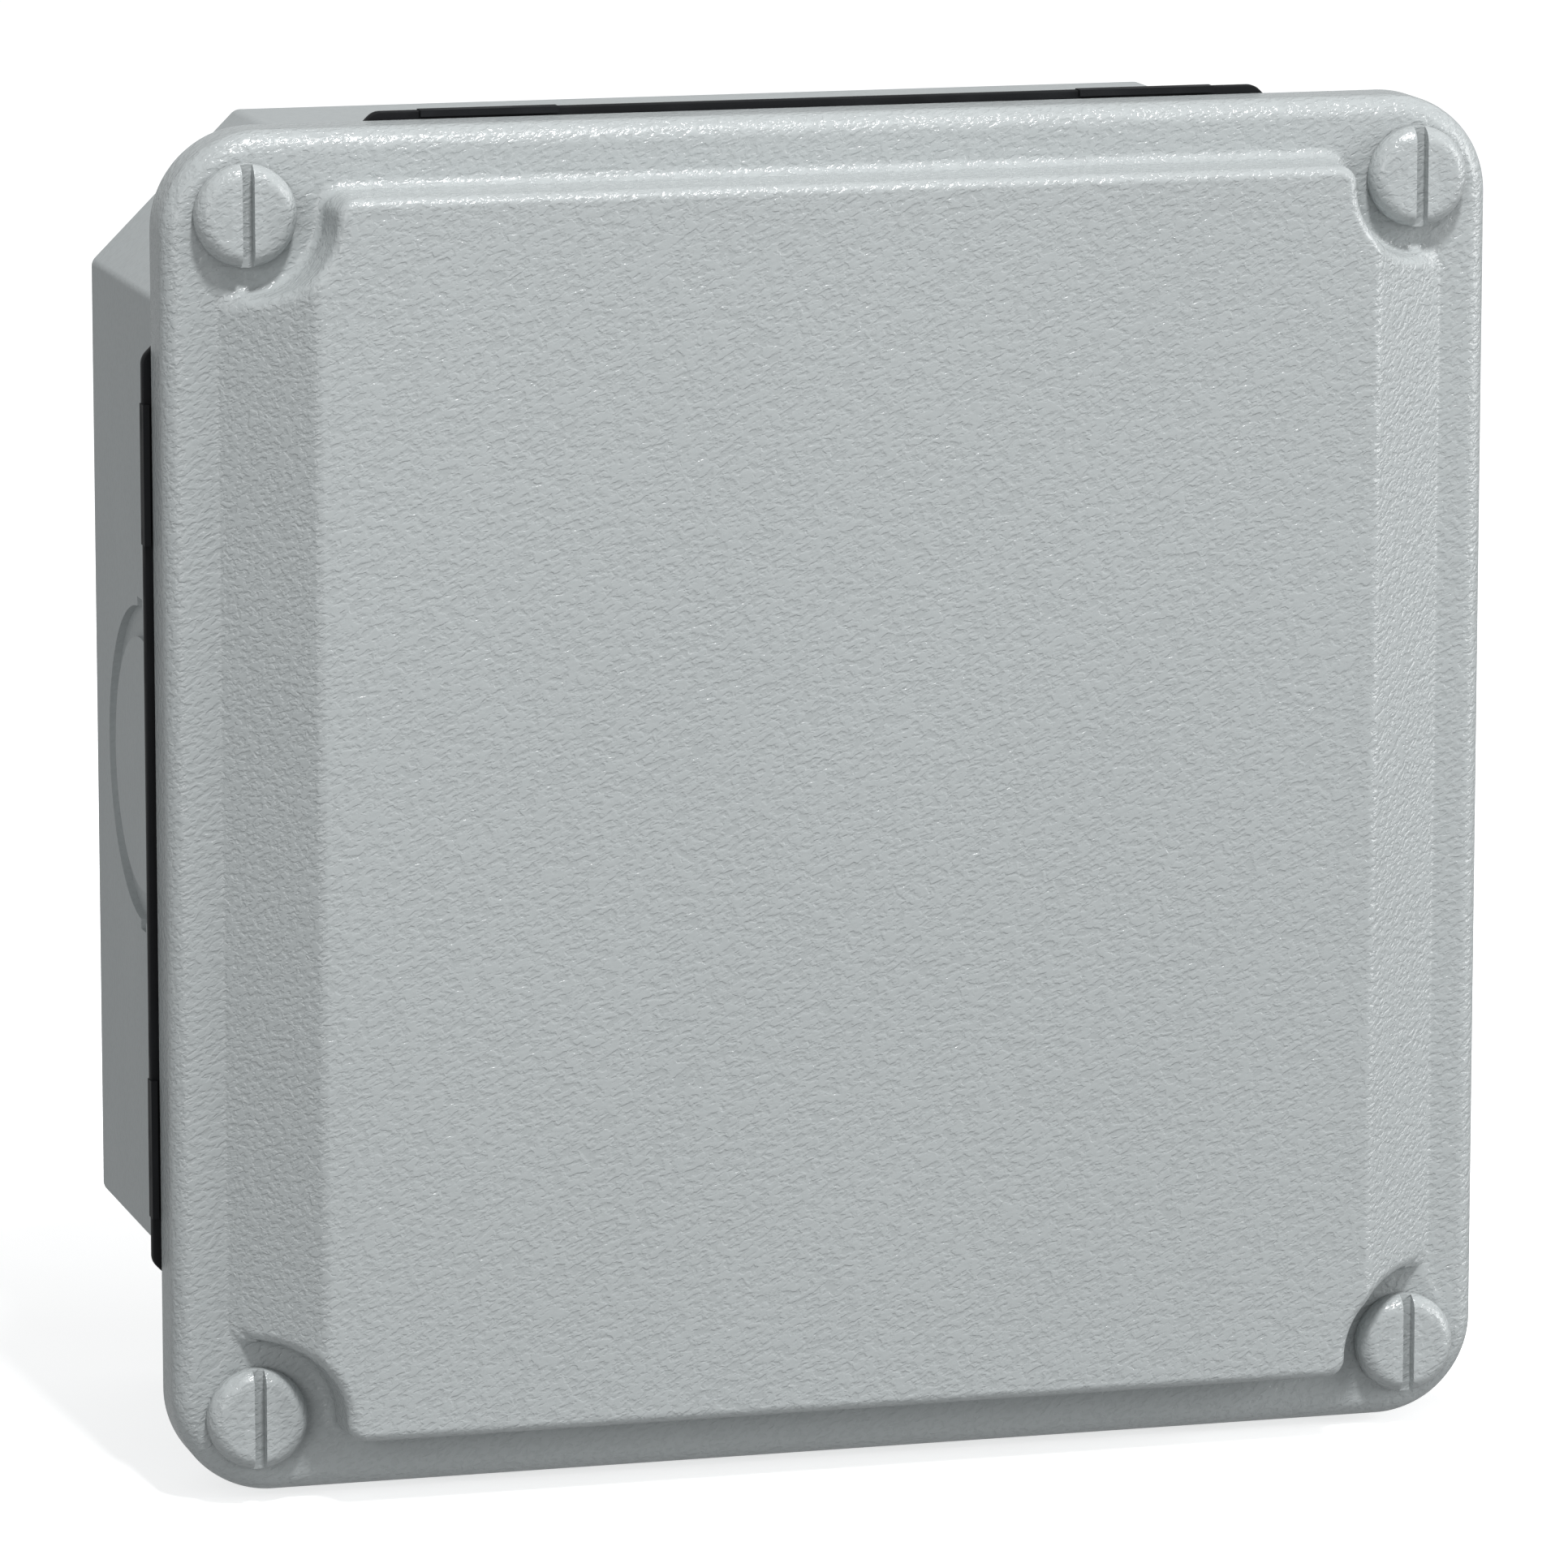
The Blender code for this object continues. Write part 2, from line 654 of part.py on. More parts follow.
# ------------------------------------------------------------------ fasteners of the cover
def cover_screw_profile():
    """Half section of a cover screw, from the head's middle down to the tip."""
    underside = RIM_FACE + GAP
    shoulder = SCREW_HEAD_TOP - SCREW_HEAD_ROUND
    flat = SCREW_HEAD_RADIUS - SCREW_HEAD_ROUND
    profile = [(0.0, SCREW_HEAD_TOP)]
    for i in range(6):
        turn = math.radians(18 * i)
        radius = flat + SCREW_HEAD_ROUND * math.sin(turn)
        profile.append((radius, shoulder + SCREW_HEAD_ROUND * math.cos(turn)))
    profile.append((SCREW_HEAD_RADIUS, underside))
    profile.append((SCREW_SHANK_RADIUS, underside))
    profile.append((SCREW_SHANK_RADIUS, SCREW_TIP + SCREW_CHAMFER))
    profile.append((SCREW_SHANK_RADIUS - SCREW_CHAMFER, SCREW_TIP))
    profile.append((0.0, SCREW_TIP))
    return profile


def cut_slot(screw, x, z, width, depth, front, cutters):
    """Cut an upright driver slot right across a screw head whose top is at front."""
    slot = bmesh.new()
    reach = SCREW_HEAD_RADIUS + OVERLAP
    low = (x - width / 2, front - depth, z - reach)
    high = (x + width / 2, front + OVERLAP, z + reach)
    add_box(slot, low, high)
    boolean(screw, tool_object(screw.name + "_slot", slot, cutters), "DIFFERENCE")


def make_cover_fasteners(parts, cutters):
    """Slotted captive screws, their retaining washers and the threaded inserts."""
    profile = cover_screw_profile()
    washer = ring_profile(RETAINER_RADIUS, RETAINER_BORE, RETAINER_BACK, RETAINER_BACK + RETAINER_THICK)
    sleeve = ring_profile(INSERT_RADIUS, INSERT_BORE, INSERT_BACK, INSERT_FRONT)
    for corner, side, level in CORNERS:
        x = side * SCREW_PITCH_HALF
        z = level * SCREW_PITCH_HALF
        place = (x, 0, z)
        screw = turned("cover_screw_" + corner, profile, parts, grey_plastic(), place)
        cut_slot(screw, x, z, SLOT_WIDTH, SLOT_DEPTH, SCREW_HEAD_TOP, cutters)
        turned("screw_retainer_" + corner, washer, parts, white_nylon(), place, COARSE, closed=True)
        turned("threaded_insert_" + corner, sleeve, parts, brass(), place, SMALL, closed=True)


def make_fixing_caps(parts):
    """Push-in caps that close the wall screws' pockets."""
    seat = FIXING_COLUMN_FRONT + GAP
    top = seat + CAP_HEAD_THICK
    plug = FIXING_POCKET_RADIUS - GAP
    profile = [
        (0.0, top),
        (CAP_HEAD_RADIUS - CAP_CHAMFER, top),
        (CAP_HEAD_RADIUS, top - CAP_CHAMFER),
        (CAP_HEAD_RADIUS, seat),
        (plug, seat),
        (plug, CAP_PLUG_BACK),
        (0.0, CAP_PLUG_BACK),
    ]
    for corner, side, level in CORNERS:
        place = (side * FIXING_OFFSET, 0, level * FIXING_OFFSET)
        turned("fixing_cap_" + corner, profile, parts, grey_plastic(), place, SMALL)


# ------------------------------------------------------------------ rail and terminals
def mirrored(half_outline):
    """Outline of (z, front) pairs from its half with positive z."""
    return half_outline + [(-height, front) for height, front in reversed(half_outline)]


def make_rail(parts, cutters):
    """Top-hat rail with its two fixing screws."""
    web_front = RAIL_BACK + RAIL_SHEET
    flange_back = RAIL_FRONT - RAIL_SHEET
    half = [
        (RAIL_WEB_HALF, RAIL_BACK),
        (RAIL_WEB_HALF, flange_back),
        (RAIL_HALF_HEIGHT, flange_back),
        (RAIL_HALF_HEIGHT, RAIL_FRONT),
        (RAIL_WEB_HALF - RAIL_SHEET, RAIL_FRONT),
        (RAIL_WEB_HALF - RAIL_SHEET, web_front),
    ]
    rail = plate("mounting_rail", mirrored(half), RAIL_LENGTH, 0.0, parts, zinc_steel())
    holes = bmesh.new()
    head_back = web_front + GAP
    head_front = head_back + RAIL_SCREW_HEAD_THICK
    profile = [
        (0.0, head_front),
        (RAIL_SCREW_HEAD - RAIL_SCREW_CHAMFER, head_front),
        (RAIL_SCREW_HEAD, head_front - RAIL_SCREW_CHAMFER),
        (RAIL_SCREW_HEAD, head_back),
        (RAIL_SCREW_SHANK, head_back),
        (RAIL_SCREW_SHANK, RAIL_SCREW_TIP),
        (0.0, RAIL_SCREW_TIP),
    ]
    for name, side in (("left", -1), ("right", 1)):
        x = side * RAIL_SCREW_OFFSET
        add_post(holes, x, 0.0, RAIL_BORE, RAIL_BACK - OVERLAP, web_front + OVERLAP)
        screw = turned("rail_screw_" + name, profile, parts, zinc_steel(), (x, 0, 0), SMALL)
        cut_slot(screw, x, 0.0, DRIVER_SLOT_WIDTH, DRIVER_SLOT_DEPTH, head_front, cutters)
    boolean(rail, tool_object("rail_holes", holes, cutters), "DIFFERENCE")


def rail_foot():
    """Half outline of a clip foot that grips the rail's flange, from the middle outwards."""
    seat = RAIL_FRONT + GAP
    under = RAIL_FRONT - RAIL_SHEET - GAP
    edge = RAIL_HALF_HEIGHT + GAP
    return [
        (0.0, seat),
        (edge, seat),
        (edge, under),
        (edge - FOOT_GRIP, under),
        (edge - FOOT_GRIP, under - FOOT_LIP),
        (edge + FOOT_REACH, under - FOOT_LIP),
    ]


def terminal_outline():
    """Side view of a terminal housing, standing on the rail."""
    hip = RAIL_HALF_HEIGHT + GAP + FOOT_REACH
    half = rail_foot() + [
        (hip, RAIL_FRONT + TERMINAL_HIP),
        (TERMINAL_HALF_HEIGHT, RAIL_FRONT + TERMINAL_HIP + 0.0025),
        (TERMINAL_HALF_HEIGHT, TERMINAL_FRONT - TERMINAL_SHOULDER),
        (TERMINAL_HALF_HEIGHT - 0.0060, TERMINAL_FRONT - 0.0020),
        (TERMINAL_RIDGE_HALF + 0.0020, TERMINAL_FRONT - TERMINAL_STEP),
        (TERMINAL_RIDGE_HALF, TERMINAL_FRONT),
    ]
    return mirrored(half)[1:-1]


def make_terminal(name, finish, x, parts, cutters):
    """One rail terminal: housing open on its right, brass bar and two clamp screws."""
    title = "terminal_" + name
    housing = plate(title + "_housing", terminal_outline(), TERMINAL_WIDTH, x, parts, finish)
    left = x - TERMINAL_WIDTH / 2 + TERMINAL_SIDE_WALL
    right = x + TERMINAL_WIDTH / 2
    middle = (left + right) / 2
    chamber = bmesh.new()
    low = (left, CHAMBER_BACK, -CHAMBER_HALF)
    add_box(chamber, low, (right + OVERLAP, CHAMBER_FRONT, CHAMBER_HALF))
    shafts = bmesh.new()
    bar_shafts = bmesh.new()
    bar_wires = bmesh.new()
    side_reach = TERMINAL_HALF_HEIGHT - CHAMBER_HALF + 2 * OVERLAP
    side_middle = (TERMINAL_HALF_HEIGHT + CHAMBER_HALF) / 2
    shaft_radius = CLAMP_HEAD_RADIUS + GAP
    thread_radius = CLAMP_SHANK_RADIUS + GAP
    for level in (-1, 1):
        z = level * CLAMP_OFFSET
        add_post(shafts, middle, z, shaft_radius, CHAMBER_FRONT - OVERLAP, TERMINAL_FRONT + OVERLAP, COARSE)
        add_rod(shafts, (middle, WIRE_FRONT, level * side_middle), WIRE_BORE, side_reach, COARSE)
        add_post(bar_shafts, middle, z, thread_radius, WIRE_FRONT, CHAMBER_FRONT + OVERLAP, COARSE)
        add_rod(bar_wires, (middle, WIRE_FRONT, z), BAR_BORE, BAR_BORE_LENGTH, COARSE)
    boolean(housing, tool_object(title + "_chamber", chamber, cutters), "DIFFERENCE")
    boolean(housing, tool_object(title + "_shafts", shafts, cutters), "DIFFERENCE")

    block = bmesh.new()
    low = (left + GAP, CHAMBER_BACK + GAP, -CHAMBER_HALF + GAP)
    add_box(block, low, (right - GAP, CHAMBER_FRONT - GAP, CHAMBER_HALF - GAP))
    bar = add_object(title + "_bar", finish_mesh(title + "_bar", block), parts, brass())
    boolean(bar, tool_object(title + "_bar_shafts", bar_shafts, cutters), "DIFFERENCE")
    boolean(bar, tool_object(title + "_bar_wires", bar_wires, cutters), "DIFFERENCE")

    head_back = CLAMP_HEAD_FRONT - CLAMP_HEAD_THICK
    profile = [
        (0.0, CLAMP_HEAD_FRONT),
        (CLAMP_HEAD_RADIUS, CLAMP_HEAD_FRONT),
        (CLAMP_HEAD_RADIUS, head_back),
        (CLAMP_SHANK_RADIUS, head_back),
        (CLAMP_SHANK_RADIUS, CLAMP_TIP),
        (0.0, CLAMP_TIP),
    ]
    for place, level in (("upper", 1), ("lower", -1)):
        z = level * CLAMP_OFFSET
        screw = turned("%s_screw_%s" % (title, place), profile, parts, zinc_steel(), (middle, 0, z), COARSE)
        cut_slot(screw, middle, z, DRIVER_SLOT_WIDTH, DRIVER_SLOT_DEPTH, CLAMP_HEAD_FRONT, cutters)


def make_end_stop(name, x, parts, cutters):
    """Clamp that keeps the row of terminals in place on the rail, with its screw."""
    hip = RAIL_HALF_HEIGHT + GAP + FOOT_REACH
    half = rail_foot() + [
        (hip, END_STOP_FRONT - END_STOP_SHOULDER),
        (hip - END_STOP_SHOULDER, END_STOP_FRONT),
    ]
    stop = plate("end_stop_" + name, mirrored(half)[1:-1], END_STOP_WIDTH, x, parts, dark_polyamide())
    head_front = END_STOP_FRONT - END_SCREW_SINK
    head_back = head_front - END_SCREW_HEAD_THICK
    seat = bmesh.new()
    add_post(seat, x, 0.0, END_SCREW_HEAD + GAP, head_back - GAP, END_STOP_FRONT + OVERLAP)
    bore = bmesh.new()
    add_post(bore, x, 0.0, END_SCREW_SHANK + GAP, RAIL_FRONT - OVERLAP, END_STOP_FRONT)
    boolean(stop, tool_object(stop.name + "_seat", seat, cutters), "DIFFERENCE")
    boolean(stop, tool_object(stop.name + "_bore", bore, cutters), "DIFFERENCE")
    tip = RAIL_BACK + RAIL_SHEET + GAP
    profile = [
        (0.0, head_front),
        (END_SCREW_HEAD, head_front),
        (END_SCREW_HEAD, head_back),
        (END_SCREW_SHANK, head_back),
        (END_SCREW_SHANK, tip),
        (0.0, tip),
    ]
    screw = turned("end_stop_screw_" + name, profile, parts, zinc_steel(), (x, 0, 0), COARSE)
    cut_slot(screw, x, 0.0, DRIVER_SLOT_WIDTH, DRIVER_SLOT_DEPTH, head_front, cutters)


def make_terminal_row(parts, cutters):
    """Four terminals side by side, an end plate and an end stop at either end."""
    first = -TERMINAL_PITCH * (len(TERMINALS) - 1) / 2
    for index, (name, colour) in enumerate(TERMINALS):
        finish = material("terminal_" + name, colour, 0.4)
        make_terminal(name, finish, first + index * TERMINAL_PITCH, parts, cutters)
    row_half = TERMINAL_PITCH * len(TERMINALS) / 2
    plate_x = row_half + END_PLATE_THICK / 2 + GAP / 2
    plate("terminal_end_plate", terminal_outline(), END_PLATE_THICK, plate_x, parts, dark_polyamide())
    left_x = -row_half - END_STOP_WIDTH / 2 - GAP / 2
    right_x = plate_x + END_PLATE_THICK / 2 + GAP + END_STOP_WIDTH / 2
    make_end_stop("left", left_x, parts, cutters)
    make_end_stop("right", right_x, parts, cutters)


def main():
    """Model the whole box."""
    clear_scene()
    parts = new_collection("junction_box")
    cutters = new_collection("cutters")
    make_tub(parts, cutters)
    make_seal(parts, cutters)
    make_cover(parts, cutters)
    make_cover_fasteners(parts, cutters)
    make_fixing_caps(parts)
    make_rail(parts, cutters)
    make_terminal_row(parts, cutters)


main()
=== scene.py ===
"""Looks of the wall-mounted junction box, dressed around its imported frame.

All lengths are in metres. A "front" distance is measured from the wall towards the
viewer, so a point's Y is its front distance with the sign changed, and +Z is up.
"""

import logging
import math
from collections.abc import Callable
from dataclasses import dataclass
from enum import Enum

import bmesh
import bpy
from mathutils import Matrix, Vector


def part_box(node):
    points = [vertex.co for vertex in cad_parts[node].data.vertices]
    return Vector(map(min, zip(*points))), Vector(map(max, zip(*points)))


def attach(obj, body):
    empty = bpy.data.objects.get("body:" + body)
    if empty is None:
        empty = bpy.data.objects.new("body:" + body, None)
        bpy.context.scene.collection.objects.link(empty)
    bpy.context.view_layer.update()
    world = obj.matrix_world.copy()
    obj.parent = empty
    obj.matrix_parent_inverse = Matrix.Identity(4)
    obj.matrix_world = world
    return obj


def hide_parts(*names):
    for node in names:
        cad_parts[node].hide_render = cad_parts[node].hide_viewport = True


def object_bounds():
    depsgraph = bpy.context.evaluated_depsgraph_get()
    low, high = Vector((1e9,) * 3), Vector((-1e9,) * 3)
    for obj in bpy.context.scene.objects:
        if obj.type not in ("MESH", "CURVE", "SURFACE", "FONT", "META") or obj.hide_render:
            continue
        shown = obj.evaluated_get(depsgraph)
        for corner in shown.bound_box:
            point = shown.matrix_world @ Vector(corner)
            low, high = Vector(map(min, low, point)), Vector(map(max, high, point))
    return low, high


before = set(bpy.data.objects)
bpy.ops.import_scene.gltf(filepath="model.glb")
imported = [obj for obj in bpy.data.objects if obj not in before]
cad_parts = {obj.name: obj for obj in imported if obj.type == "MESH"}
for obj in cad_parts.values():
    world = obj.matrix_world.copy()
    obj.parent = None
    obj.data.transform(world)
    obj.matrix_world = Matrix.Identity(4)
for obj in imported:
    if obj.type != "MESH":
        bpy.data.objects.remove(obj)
CAD_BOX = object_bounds()

LOG = logging.getLogger("junction_box")
OVERLAP = 0.001  # how far a shape reaches past the surface it joins or cuts
EIGHTH = math.tan(math.radians(22.5))  # shortening of a 45 degree corner's sides
MIDDLE = (0.3, 0.7)  # the range in which a noise mostly lies
WHOLE = (0.0, 1.0)
MICRO_RELIEF = 0.00003  # depth of the finest surface marks

Flat = tuple[float, float]
Point = tuple[float, float, float]
Ring = list[Point]


class Corner(Enum):
    """The four corners of the box, each with its signs along X and Z."""

    UPPER_LEFT = (-1, 1)
    UPPER_RIGHT = (1, 1)
    LOWER_LEFT = (-1, -1)
    LOWER_RIGHT = (1, -1)

    @property
    def tag(self) -> str:
        """The corner's name as the frame's nodes and bodies spell it."""
        return self.name.lower()

    def spot(self, offset: float) -> Flat:
        """The (x, z) of a feature that stands offset from the middle both ways."""
        return self.value[0] * offset, self.value[1] * offset


class Merge(Enum):
    """Which way two shapes are combined."""

    JOIN = "UNION"
    CUT = "DIFFERENCE"


# ---------------------------------------------------------------------- finishes
class NodeSketch:
    """Lays out the nodes of one material around its Principled shader."""

    def __init__(self, name: str) -> None:
        """Start a material with a shader and object coordinates.

        Args:
            name: The material's name.
        """
        self.material = bpy.data.materials.new(name)
        self.material.use_nodes = True
        self.tree = self.material.node_tree
        self.shader = self.tree.nodes["Principled BSDF"]
        self.place = self.add("ShaderNodeTexCoord").outputs["Object"]

    def add(self, kind: str, **settings: object) -> bpy.types.Node:
        """Add a node.

        Args:
            kind: Blender's name for the node type.
            **settings: Properties to set on it.

        Returns:
            The new node.
        """
        node = self.tree.nodes.new(kind)
        for key, value in settings.items():
            setattr(node, key, value)
        return node

    def feed(self, target: bpy.types.NodeSocket, source: object) -> None:
        """Link a socket, or set its value.

        Args:
            target: The input socket.
            source: An output socket to link, or a plain number, vector or colour.
        """
        if isinstance(source, bpy.types.NodeSocket):
            self.tree.links.new(source, target)
        else:
            target.default_value = source

    def stretched(self, scale: Point, turn: float = 0.0) -> bpy.types.NodeSocket:
        """Scale the coordinates along each axis after a turn about Y.

        Args:
            scale: Factor along X, Y and Z.
            turn: Angle about Y in degrees.

        Returns:
            The new coordinates.
        """
        turned = self.add("ShaderNodeVectorRotate", rotation_type="Y_AXIS")
        self.feed(turned.inputs["Vector"], self.place)
        self.feed(turned.inputs["Angle"], math.radians(turn))
        scaled = self.add("ShaderNodeVectorMath", operation="MULTIPLY")
        self.feed(scaled.inputs[0], turned.outputs["Vector"])
        self.feed(scaled.inputs[1], scale)
        return scaled.outputs["Vector"]

    def noise(
        self, pitch: float, detail: float = 2.0, bend: float = 0.0, where: object = None
    ) -> bpy.types.NodeSocket:
        """Cloudy noise.

        Args:
            pitch: Size of one cloud, in metres.
            detail: How many finer layers it carries.
            bend: How far its shapes are distorted.
            where: Coordinates, or None for the object's own.

        Returns:
            A value around one half.
        """
        node = self.add("ShaderNodeTexNoise")
        self.feed(node.inputs["Vector"], where or self.place)
        self.feed(node.inputs["Scale"], 1.0 / pitch)
        self.feed(node.inputs["Detail"], detail)
        self.feed(node.inputs["Distortion"], bend)
        return node.outputs["Fac"]

    def cells(self, pitch: float, where: object = None) -> bpy.types.NodeSocket:
        """Rounded cells, low in their middles and high between them.

        Args:
            pitch: Size of one cell, in metres.
            where: Coordinates, or None for the object's own.

        Returns:
            The distance from the nearest cell's middle.
        """
        node = self.add("ShaderNodeTexVoronoi", feature="SMOOTH_F1")
        self.feed(node.inputs["Vector"], where or self.place)
        self.feed(node.inputs["Scale"], 1.0 / pitch)
        self.feed(node.inputs["Smoothness"], 0.6)
        return node.outputs["Distance"]

    def spread(
        self, value: bpy.types.NodeSocket, span: Flat, onto: Flat
    ) -> bpy.types.NodeSocket:
        """Map one range of a value smoothly onto another, clamped at both ends.

        Args:
            value: The value.
            span: The range it comes from.
            onto: The range it goes to.

        Returns:
            The mapped value.
        """
        node = self.add("ShaderNodeMapRange", interpolation_type="SMOOTHSTEP")
        self.feed(node.inputs["Value"], value)
        for socket, number in zip(("From Min", "From Max", "To Min", "To Max"), (*span, *onto)):
            self.feed(node.inputs[socket], number)
        return node.outputs["Result"]

    def maths(self, operation: str, first: object, second: object) -> bpy.types.NodeSocket:
        """Combine two values.

        Args:
            operation: Blender's name for the sum.
            first: A socket or a number.
            second: A socket or a number.

        Returns:
            The result.
        """
        node = self.add("ShaderNodeMath", operation=operation)
        self.feed(node.inputs[0], first)
        self.feed(node.inputs[1], second)
        return node.outputs["Value"]

    def blend(self, share: object, first: object, second: object) -> bpy.types.NodeSocket:
        """Mix two colours.

        Args:
            share: How much of the second colour shows, from 0 to 1.
            first: A socket or a colour.
            second: A socket or a colour.

        Returns:
            The mixed colour.
        """
        node = self.add("ShaderNodeMix", data_type="RGBA")
        self.feed(node.inputs["Factor"], share)
        self.feed(node.inputs["A"], first)
        self.feed(node.inputs["B"], second)
        return next(out for out in node.outputs if out.type == "RGBA")

    def relief(
        self, height: bpy.types.NodeSocket, depth: float, under: object = None
    ) -> bpy.types.NodeSocket:
        """Turn a height from 0 to 1 into a bumped normal.

        Args:
            height: The height.
            depth: How deep a height of one is, in metres.
            under: A normal to add to.

        Returns:
            The normal.
        """
        node = self.add("ShaderNodeBump")
        self.feed(node.inputs["Distance"], depth)
        self.feed(node.inputs["Height"], height)
        if under:
            self.feed(node.inputs["Normal"], under)
        return node.outputs["Normal"]


def tone(colour: Point, factor: float) -> tuple[float, float, float, float]:
    """A colour made lighter or darker, with full alpha."""
    return (*(min(channel * factor, 1.0) for channel in colour), 1.0)


@dataclass(frozen=True)
class Moulding:
    """Moulded plastic with a spark-eroded grain, painted shade in its valleys and a painted
    highlight on its convex edges.

    Lengths are in metres, grain_slant in degrees, and the other numbers are shares.
    """

    name: str
    colour: Point
    roughness: float = 0.23
    grain_pitch: float = 0.00062
    grain_depth: float = 0.000065
    grain_slant: float = 28.0
    grain_stretch: float = 1.8
    pore_share: float = 0.45
    fine_share: float = 0.16
    cloud_pitch: float = 0.045
    cloud_tones: Flat = (0.99, 1.01)
    # painted shade: the grain's valleys are darkened by this factor
    valley_shade_tone: float = 0.86
    # painted highlight: convex edges are lightened by this factor, at most by this share
    edge_highlight_tone: float = 1.12
    edge_highlight_share: float = 0.35
    gloss_pitch: float = 0.013
    gloss_spread: Flat = (-0.015, 0.02)
    specular: float = 0.5

    def build(self) -> bpy.types.Material:
        """Make the material."""
        sketch = NodeSketch(self.name)
        along = sketch.stretched((1.0 / self.grain_stretch, 1.0, 1.0), self.grain_slant)
        wrinkles = sketch.noise(self.grain_pitch, 2.0, 0.35, along)
        plateaus = sketch.spread(wrinkles, (0.34, 0.60), WHOLE)
        pores = sketch.cells(self.grain_pitch * 0.9, along)
        pits = sketch.maths("MULTIPLY", pores, self.pore_share)
        height = sketch.maths("SUBTRACT", plateaus, pits)
        fine = sketch.noise(self.grain_pitch * 0.3, 2.0)
        normal = sketch.relief(height, self.grain_depth)
        normal = sketch.relief(fine, self.grain_depth * self.fine_share, normal)
        sketch.feed(sketch.shader.inputs["Normal"], normal)

        clouds = sketch.spread(sketch.noise(self.cloud_pitch, 3.0), MIDDLE, WHOLE)
        dark, pale = (tone(self.colour, factor) for factor in self.cloud_tones)
        base = sketch.blend(clouds, dark, pale)
        # painted shade: the grain's low places are darkened in the base colour
        painted_valley_shade = sketch.spread(height, (-0.1, 0.6), (0.35, 0.0))
        base = sketch.blend(painted_valley_shade, base, tone(self.colour, self.valley_shade_tone))
        # painted highlight: convex edges are lightened in the base colour
        edge = sketch.add("ShaderNodeNewGeometry").outputs["Pointiness"]
        painted_edge_highlight = sketch.spread(edge, (0.505, 0.56), (0.0, self.edge_highlight_share))
        base = sketch.blend(painted_edge_highlight, base, tone(self.colour, self.edge_highlight_tone))
        sketch.feed(sketch.shader.inputs["Base Color"], base)

        handled = sketch.noise(self.gloss_pitch, 4.0)
        low, high = (self.roughness + step for step in self.gloss_spread)
        rough = sketch.spread(handled, MIDDLE, (low, high))
        sketch.feed(sketch.shader.inputs["Roughness"], rough)
        sketch.shader.inputs["Specular IOR Level"].default_value = self.specular
        return sketch.material


@dataclass(frozen=True)
class Rubber:
    """Black moulded rubber with a faint bloom."""

    name: str
    colour: Point
    roughness: float = 0.5

    def build(self) -> bpy.types.Material:
        """Make the material."""
        sketch = NodeSketch(self.name)
        bloom = sketch.spread(sketch.noise(0.006, 5.0), (0.45, 0.75), (0.0, 0.5))
        base = sketch.blend(bloom, tone(self.colour, 1.0), tone(self.colour, 2.0))
        sketch.feed(sketch.shader.inputs["Base Color"], base)
        rough = sketch.spread(bloom, (0.0, 0.5), (self.roughness, self.roughness + 0.15))
        sketch.feed(sketch.shader.inputs["Roughness"], rough)
        skin = sketch.noise(0.0005, 3.0)
        sketch.feed(sketch.shader.inputs["Normal"], sketch.relief(skin, MICRO_RELIEF))
        sketch.shader.inputs["Specular IOR Level"].default_value = 0.25
        return sketch.material


@dataclass(frozen=True)
class Polyamide:
    """Matt engineering plastic with fine sparking texture and glints of glass fibre."""

    name: str
    colour: Point
    roughness: float = 0.45
    glow: float = 0.0

    def build(self) -> bpy.types.Material:
        """Make the material."""
        sketch = NodeSketch(self.name)
        flow = sketch.noise(0.004, 3.0, 0.6, sketch.stretched((1.0, 1.0, 0.3)))
        streaks = sketch.spread(flow, MIDDLE, WHOLE)
        base = sketch.blend(streaks, tone(self.colour, 0.92), tone(self.colour, 1.08))
        fibres = sketch.spread(sketch.noise(0.00025, 1.0), (0.68, 0.78), (0.0, 0.4))
        base = sketch.blend(fibres, base, tone(self.colour, 1.6))
        sketch.feed(sketch.shader.inputs["Base Color"], base)
        low, high = self.roughness - 0.06, self.roughness + 0.06
        rough = sketch.spread(flow, MIDDLE, (low, high))
        sketch.feed(sketch.shader.inputs["Roughness"], rough)
        sparks = sketch.cells(0.0004)
        sketch.feed(sketch.shader.inputs["Normal"], sketch.relief(sparks, MICRO_RELIEF))
        sketch.shader.inputs["Subsurface Weight"].default_value = self.glow
        sketch.shader.inputs["Subsurface Scale"].default_value = 0.001
        return sketch.material


@dataclass(frozen=True)
class Metal:
    """Bare or plated metal with tool marks, tarnish and a crystalline bloom."""

    name: str
    colour: Point
    tarnish: Point
    roughness: float = 0.28
    marks: Point = (1.0, 12.0, 1.0)
    spangle: float = 0.0022

    def build(self) -> bpy.types.Material:
        """Make the material."""
        sketch = NodeSketch(self.name)
        sketch.shader.inputs["Metallic"].default_value = 1.0
        grains = sketch.add("ShaderNodeTexVoronoi")
        sketch.feed(grains.inputs["Vector"], sketch.place)
        sketch.feed(grains.inputs["Scale"], 1.0 / self.spangle)
        crystal = sketch.add("ShaderNodeSeparateColor")
        sketch.feed(crystal.inputs[0], grains.outputs["Color"])
        share = crystal.outputs[0]
        base = sketch.blend(share, tone(self.colour, 0.93), tone(self.colour, 1.05))
        stains = sketch.spread(sketch.noise(0.007, 5.0, 0.4), (0.52, 0.8), (0.0, 0.55))
        base = sketch.blend(stains, base, tone(self.tarnish, 1.0))
        sketch.feed(sketch.shader.inputs["Base Color"], base)
        worn = sketch.maths("ADD", sketch.maths("MULTIPLY", share, 0.08), stains)
        rough = sketch.spread(worn, (0.0, 0.6), (self.roughness, self.roughness + 0.22))
        sketch.feed(sketch.shader.inputs["Roughness"], rough)
        lines = sketch.noise(0.0012, 4.0, 0.0, sketch.stretched(self.marks))
        sketch.feed(sketch.shader.inputs["Normal"], sketch.relief(lines, MICRO_RELIEF))
        return sketch.material


